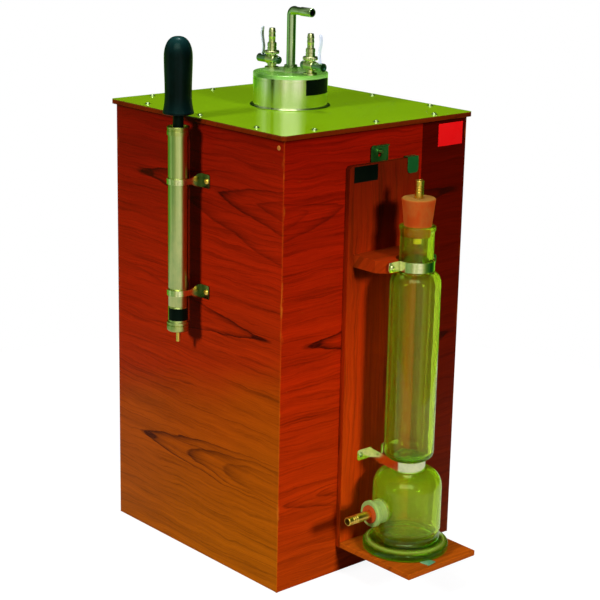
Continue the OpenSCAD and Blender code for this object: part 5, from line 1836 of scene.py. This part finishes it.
@dataclass
class HangingBoard:
    """The board that hangs on the front face with shelf, hanger, bracket, band and strap."""

    front: float = -145.4
    plate_x: tuple[float, float] = (-40.3, -7.8)
    plate_z: tuple[float, float] = (423.6, 440.0)
    plate_t: float = 0.7
    shelf_plate_at: Point = (-9.0, -240.0, 36.0)
    shelf_plate_turn: float = 8.0
    band_z: float = 343.5
    band_y: float = -191.8
    band_reach: float = 29.0
    strap_z: float = 129.5
    strap_y: float = -148.5
    strap_reach: float = 23.0
    screw_d: float = 6.5
    slot_deep: float = 1.0

    def plates(self) -> None:
        """Makes the bare name plate near the board's top and the small plate on the shelf."""
        (x0, x1), (z0, z1) = self.plate_x, self.plate_z
        Form().block((x0, self.front - self.plate_t, z0), (x1, self.front, z1), 0.2).finish(
            "board_plate", "tower_unit", BLACK_LACQUER, "black_metal", soften=0.0
        )
        turn = Matrix.Rotation(math.radians(self.shelf_plate_turn), 4, "Z")
        at = Matrix.Translation(self.shelf_plate_at) @ turn
        plate = Form().block((-6.0, -5.5, 0.0), (6.0, 5.5, 1.0), 0.25).moved(at)
        plate.finish("shelf_plate", "tower_unit", TEAL_PLATE, "black_metal", soften=0.0)

    def build(self) -> None:
        """Makes the board's pieces."""
        for node, name, finish, slot, soft in (
            ("tower_board", "hanging_board", BOARD_VENEER, "veneer", 0.7),
            ("tower_shelf", "shelf", SHELF_VENEER, "veneer", 0.7),
            ("neck_bracket", "bracket_block", BRACKET_VENEER, "veneer", 0.6),
            ("hanger_plate", "hanger", PLATE_NICKEL, "nickel", 0.3),
            ("edge_clip", "board_clip", CLIP_ENAMEL, "nickel", 0.3),
            ("neck_band", "band", CLIP_NICKEL, "nickel", 0.3),
            ("waist_strap", "strap", CLIP_NICKEL, "nickel", 0.3),
        ):
            redrawn(node, name, "tower_unit", finish, slot, soft)
        band = [(TOWER_X + x * self.band_reach, self.band_y, self.band_z) for x in (-1, 1)]
        strap = [(TOWER_X + x * self.strap_reach, self.strap_y, self.strap_z) for x in (-1, 1)]
        for node, spots, finish in (
            ("band_screws", band, CLIP_NICKEL), ("strap_screws", strap, STEEL)
        ):
            slots = screw_slots(spots, Facing.FRONT, self.screw_d, self.slot_deep)
            screws = Form().adopted(node).joined(slots, Join.CUT)
            screws.finish(f"{node[:-1]}_heads", "tower_unit", finish, "nickel", (node,), 0.1)
        STEEL.dress("board_screws")
        self.plates()


@dataclass
class DryingTower:
    """The glass tower with its stopper, side bung and brass tubes."""

    x: float = TOWER_X
    y: float = TOWER_Y
    z: float = 36.0
    tall: float = 348.0
    mouth_r: float = 14.48
    side_z: float = 50.0
    side_out: float = 54.0
    steps: int = 112

    def outer(self) -> Outline:
        """Gives the outer half outline.

        Returns:
            Its radii and heights from the foot to the rim.
        """
        line = [(0.0, 0.9), (37.0, 0.9), (39.5, 0.06), (43.5, 0.06)]
        line += arc(43.5, 1.5, 1.44, -90, 0, 4) + arc(43.0, 6.0, 2.0, 0, 80, 6)
        line += [(38.0, 11.0)] + ease(35.5, 13.0, 34.0, 17.0, 5) + ease(34.0, 19.0, 36.0, 24.0, 6)
        line += shoulder(36.0, 66.0, 17.7, 87.0, 22, 0.8)
        line += arc(17.7, 88.5, 1.5, 270, 180, 4) + arc(17.7, 98.5, 1.5, 180, 90, 4)
        line += bow(17.7, 109.0, 8.3, 9.0, -90, 0, 14)[1:] + bow(19.3, 287.0, 6.7, 12.5, 0, 90, 14)
        line += arc(19.3, 301.5, 2.0, 270, 180, 5) + [(17.3, 341.9), (17.5, 342.6)]
        return line + arc(17.2, 344.0, 1.2, -70, 0, 4) + arc(17.2, 346.8, 1.2, 0, 90, 5)

    def inner(self) -> Outline:
        """Gives the hollow's half outline.

        Returns:
            Its radii and heights from the floor to the mouth.
        """
        line = [(0.0, 9.0), (28.0, 9.0)] + arc(28.0, 12.0, 3.0, -90, 0, 5)
        line += ease(31.0, 17.0, 33.0, 26.0, 6) + shoulder(33.0, 66.0, 13.0, 83.0, 18, 0.8)
        line += arc(13.0, 85.0, 2.0, 270, 180, 4) + arc(13.0, 101.0, 2.0, 180, 90, 4)
        line += bow(13.0, 109.5, 10.0, 6.5, -90, 0, 12)[1:] + bow(16.3, 284.0, 6.7, 13.0, 0, 90, 12)
        line += arc(16.3, 300.0, 3.0, 270, 180, 5)
        return line + [(13.3, 337.0), (self.mouth_r, self.tall)]

    def glass(self) -> None:
        """Makes the glass: turned body, side tubulure with a rim, and both ways cut."""
        root = [(0.0, 20.0), (12.4, 20.0), (12.4, 47.0), (12.8, 48.4)]
        root += arc(12.5, 50.5, 1.5, -60, 0, 4) + arc(12.5, 52.5, 1.5, 0, 90, 5)
        root += [(0.0, self.side_out)]
        base, side = (self.x, self.y, self.z), (self.x, self.y, self.z + self.side_z)
        form = Form().turned(self.outer() + [(0.0, self.tall)], base, steps=self.steps)
        form.joined(Form().turned(root, side, Facing.LEFT, 72), Join.UNITE)
        hollow = self.inner() + [(self.mouth_r, self.tall + 2), (0.0, self.tall + 2)]
        space = Form().turned(hollow, base, steps=self.steps)
        way = [(0.0, 24.0), (8.28, 24.0), (9.71, self.side_out)]
        way += [(9.8, self.side_out + 2), (0.0, self.side_out + 2)]
        space.joined(Form().turned(way, side, Facing.LEFT, 56), Join.UNITE)
        form.joined(space, Join.CUT)
        form.finish(
            "glass_tower", "tower_unit", TOWER_GLASS, "clear_glass",
            ("tower_bell", "side_tubulure", "tower_shoulder", "tower_column", "tower_neck"),
            soften=0.0, smooth=38.0,
        )

    def build(self) -> None:
        """Makes the glass, the rubber and the tubes."""
        self.glass()
        for node, name, body, finish, slot, soft in (
            ("tower_stopper", "stopper", "tower_plug", STOPPER_RUBBER, "orange_rubber", 0.3),
            ("top_tube", "stopper_tube", "tower_plug", BRASS, "brass", 0.12),
            ("side_bung", "bung", "side_plug", BUNG_RUBBER, "orange_rubber", 0.4),
            ("side_tube", "bung_tube", "side_plug", BRASS, "brass", 0.12),
        ):
            redrawn(node, name, body, finish, slot, soft)


def main() -> None:
    """Builds the camera, the studio and every sub-assembly in order."""
    logging.basicConfig(level=logging.INFO, format="%(name)s: %(message)s")
    assemblies = (
        Viewpoint(), Studio(), CaseShell(), Lid(), AirVessel(), Neck(), Vent(),
        Tap(Side.FRONT, "front_tap"), Tap(Side.BACK, "back_tap"), Pump(), HangingBoard(),
        DryingTower(),
    )
    for assembly in assemblies:
        log.info("building %s", type(assembly).__name__)
        assembly.build()


if __name__ == "__main__":
    main()
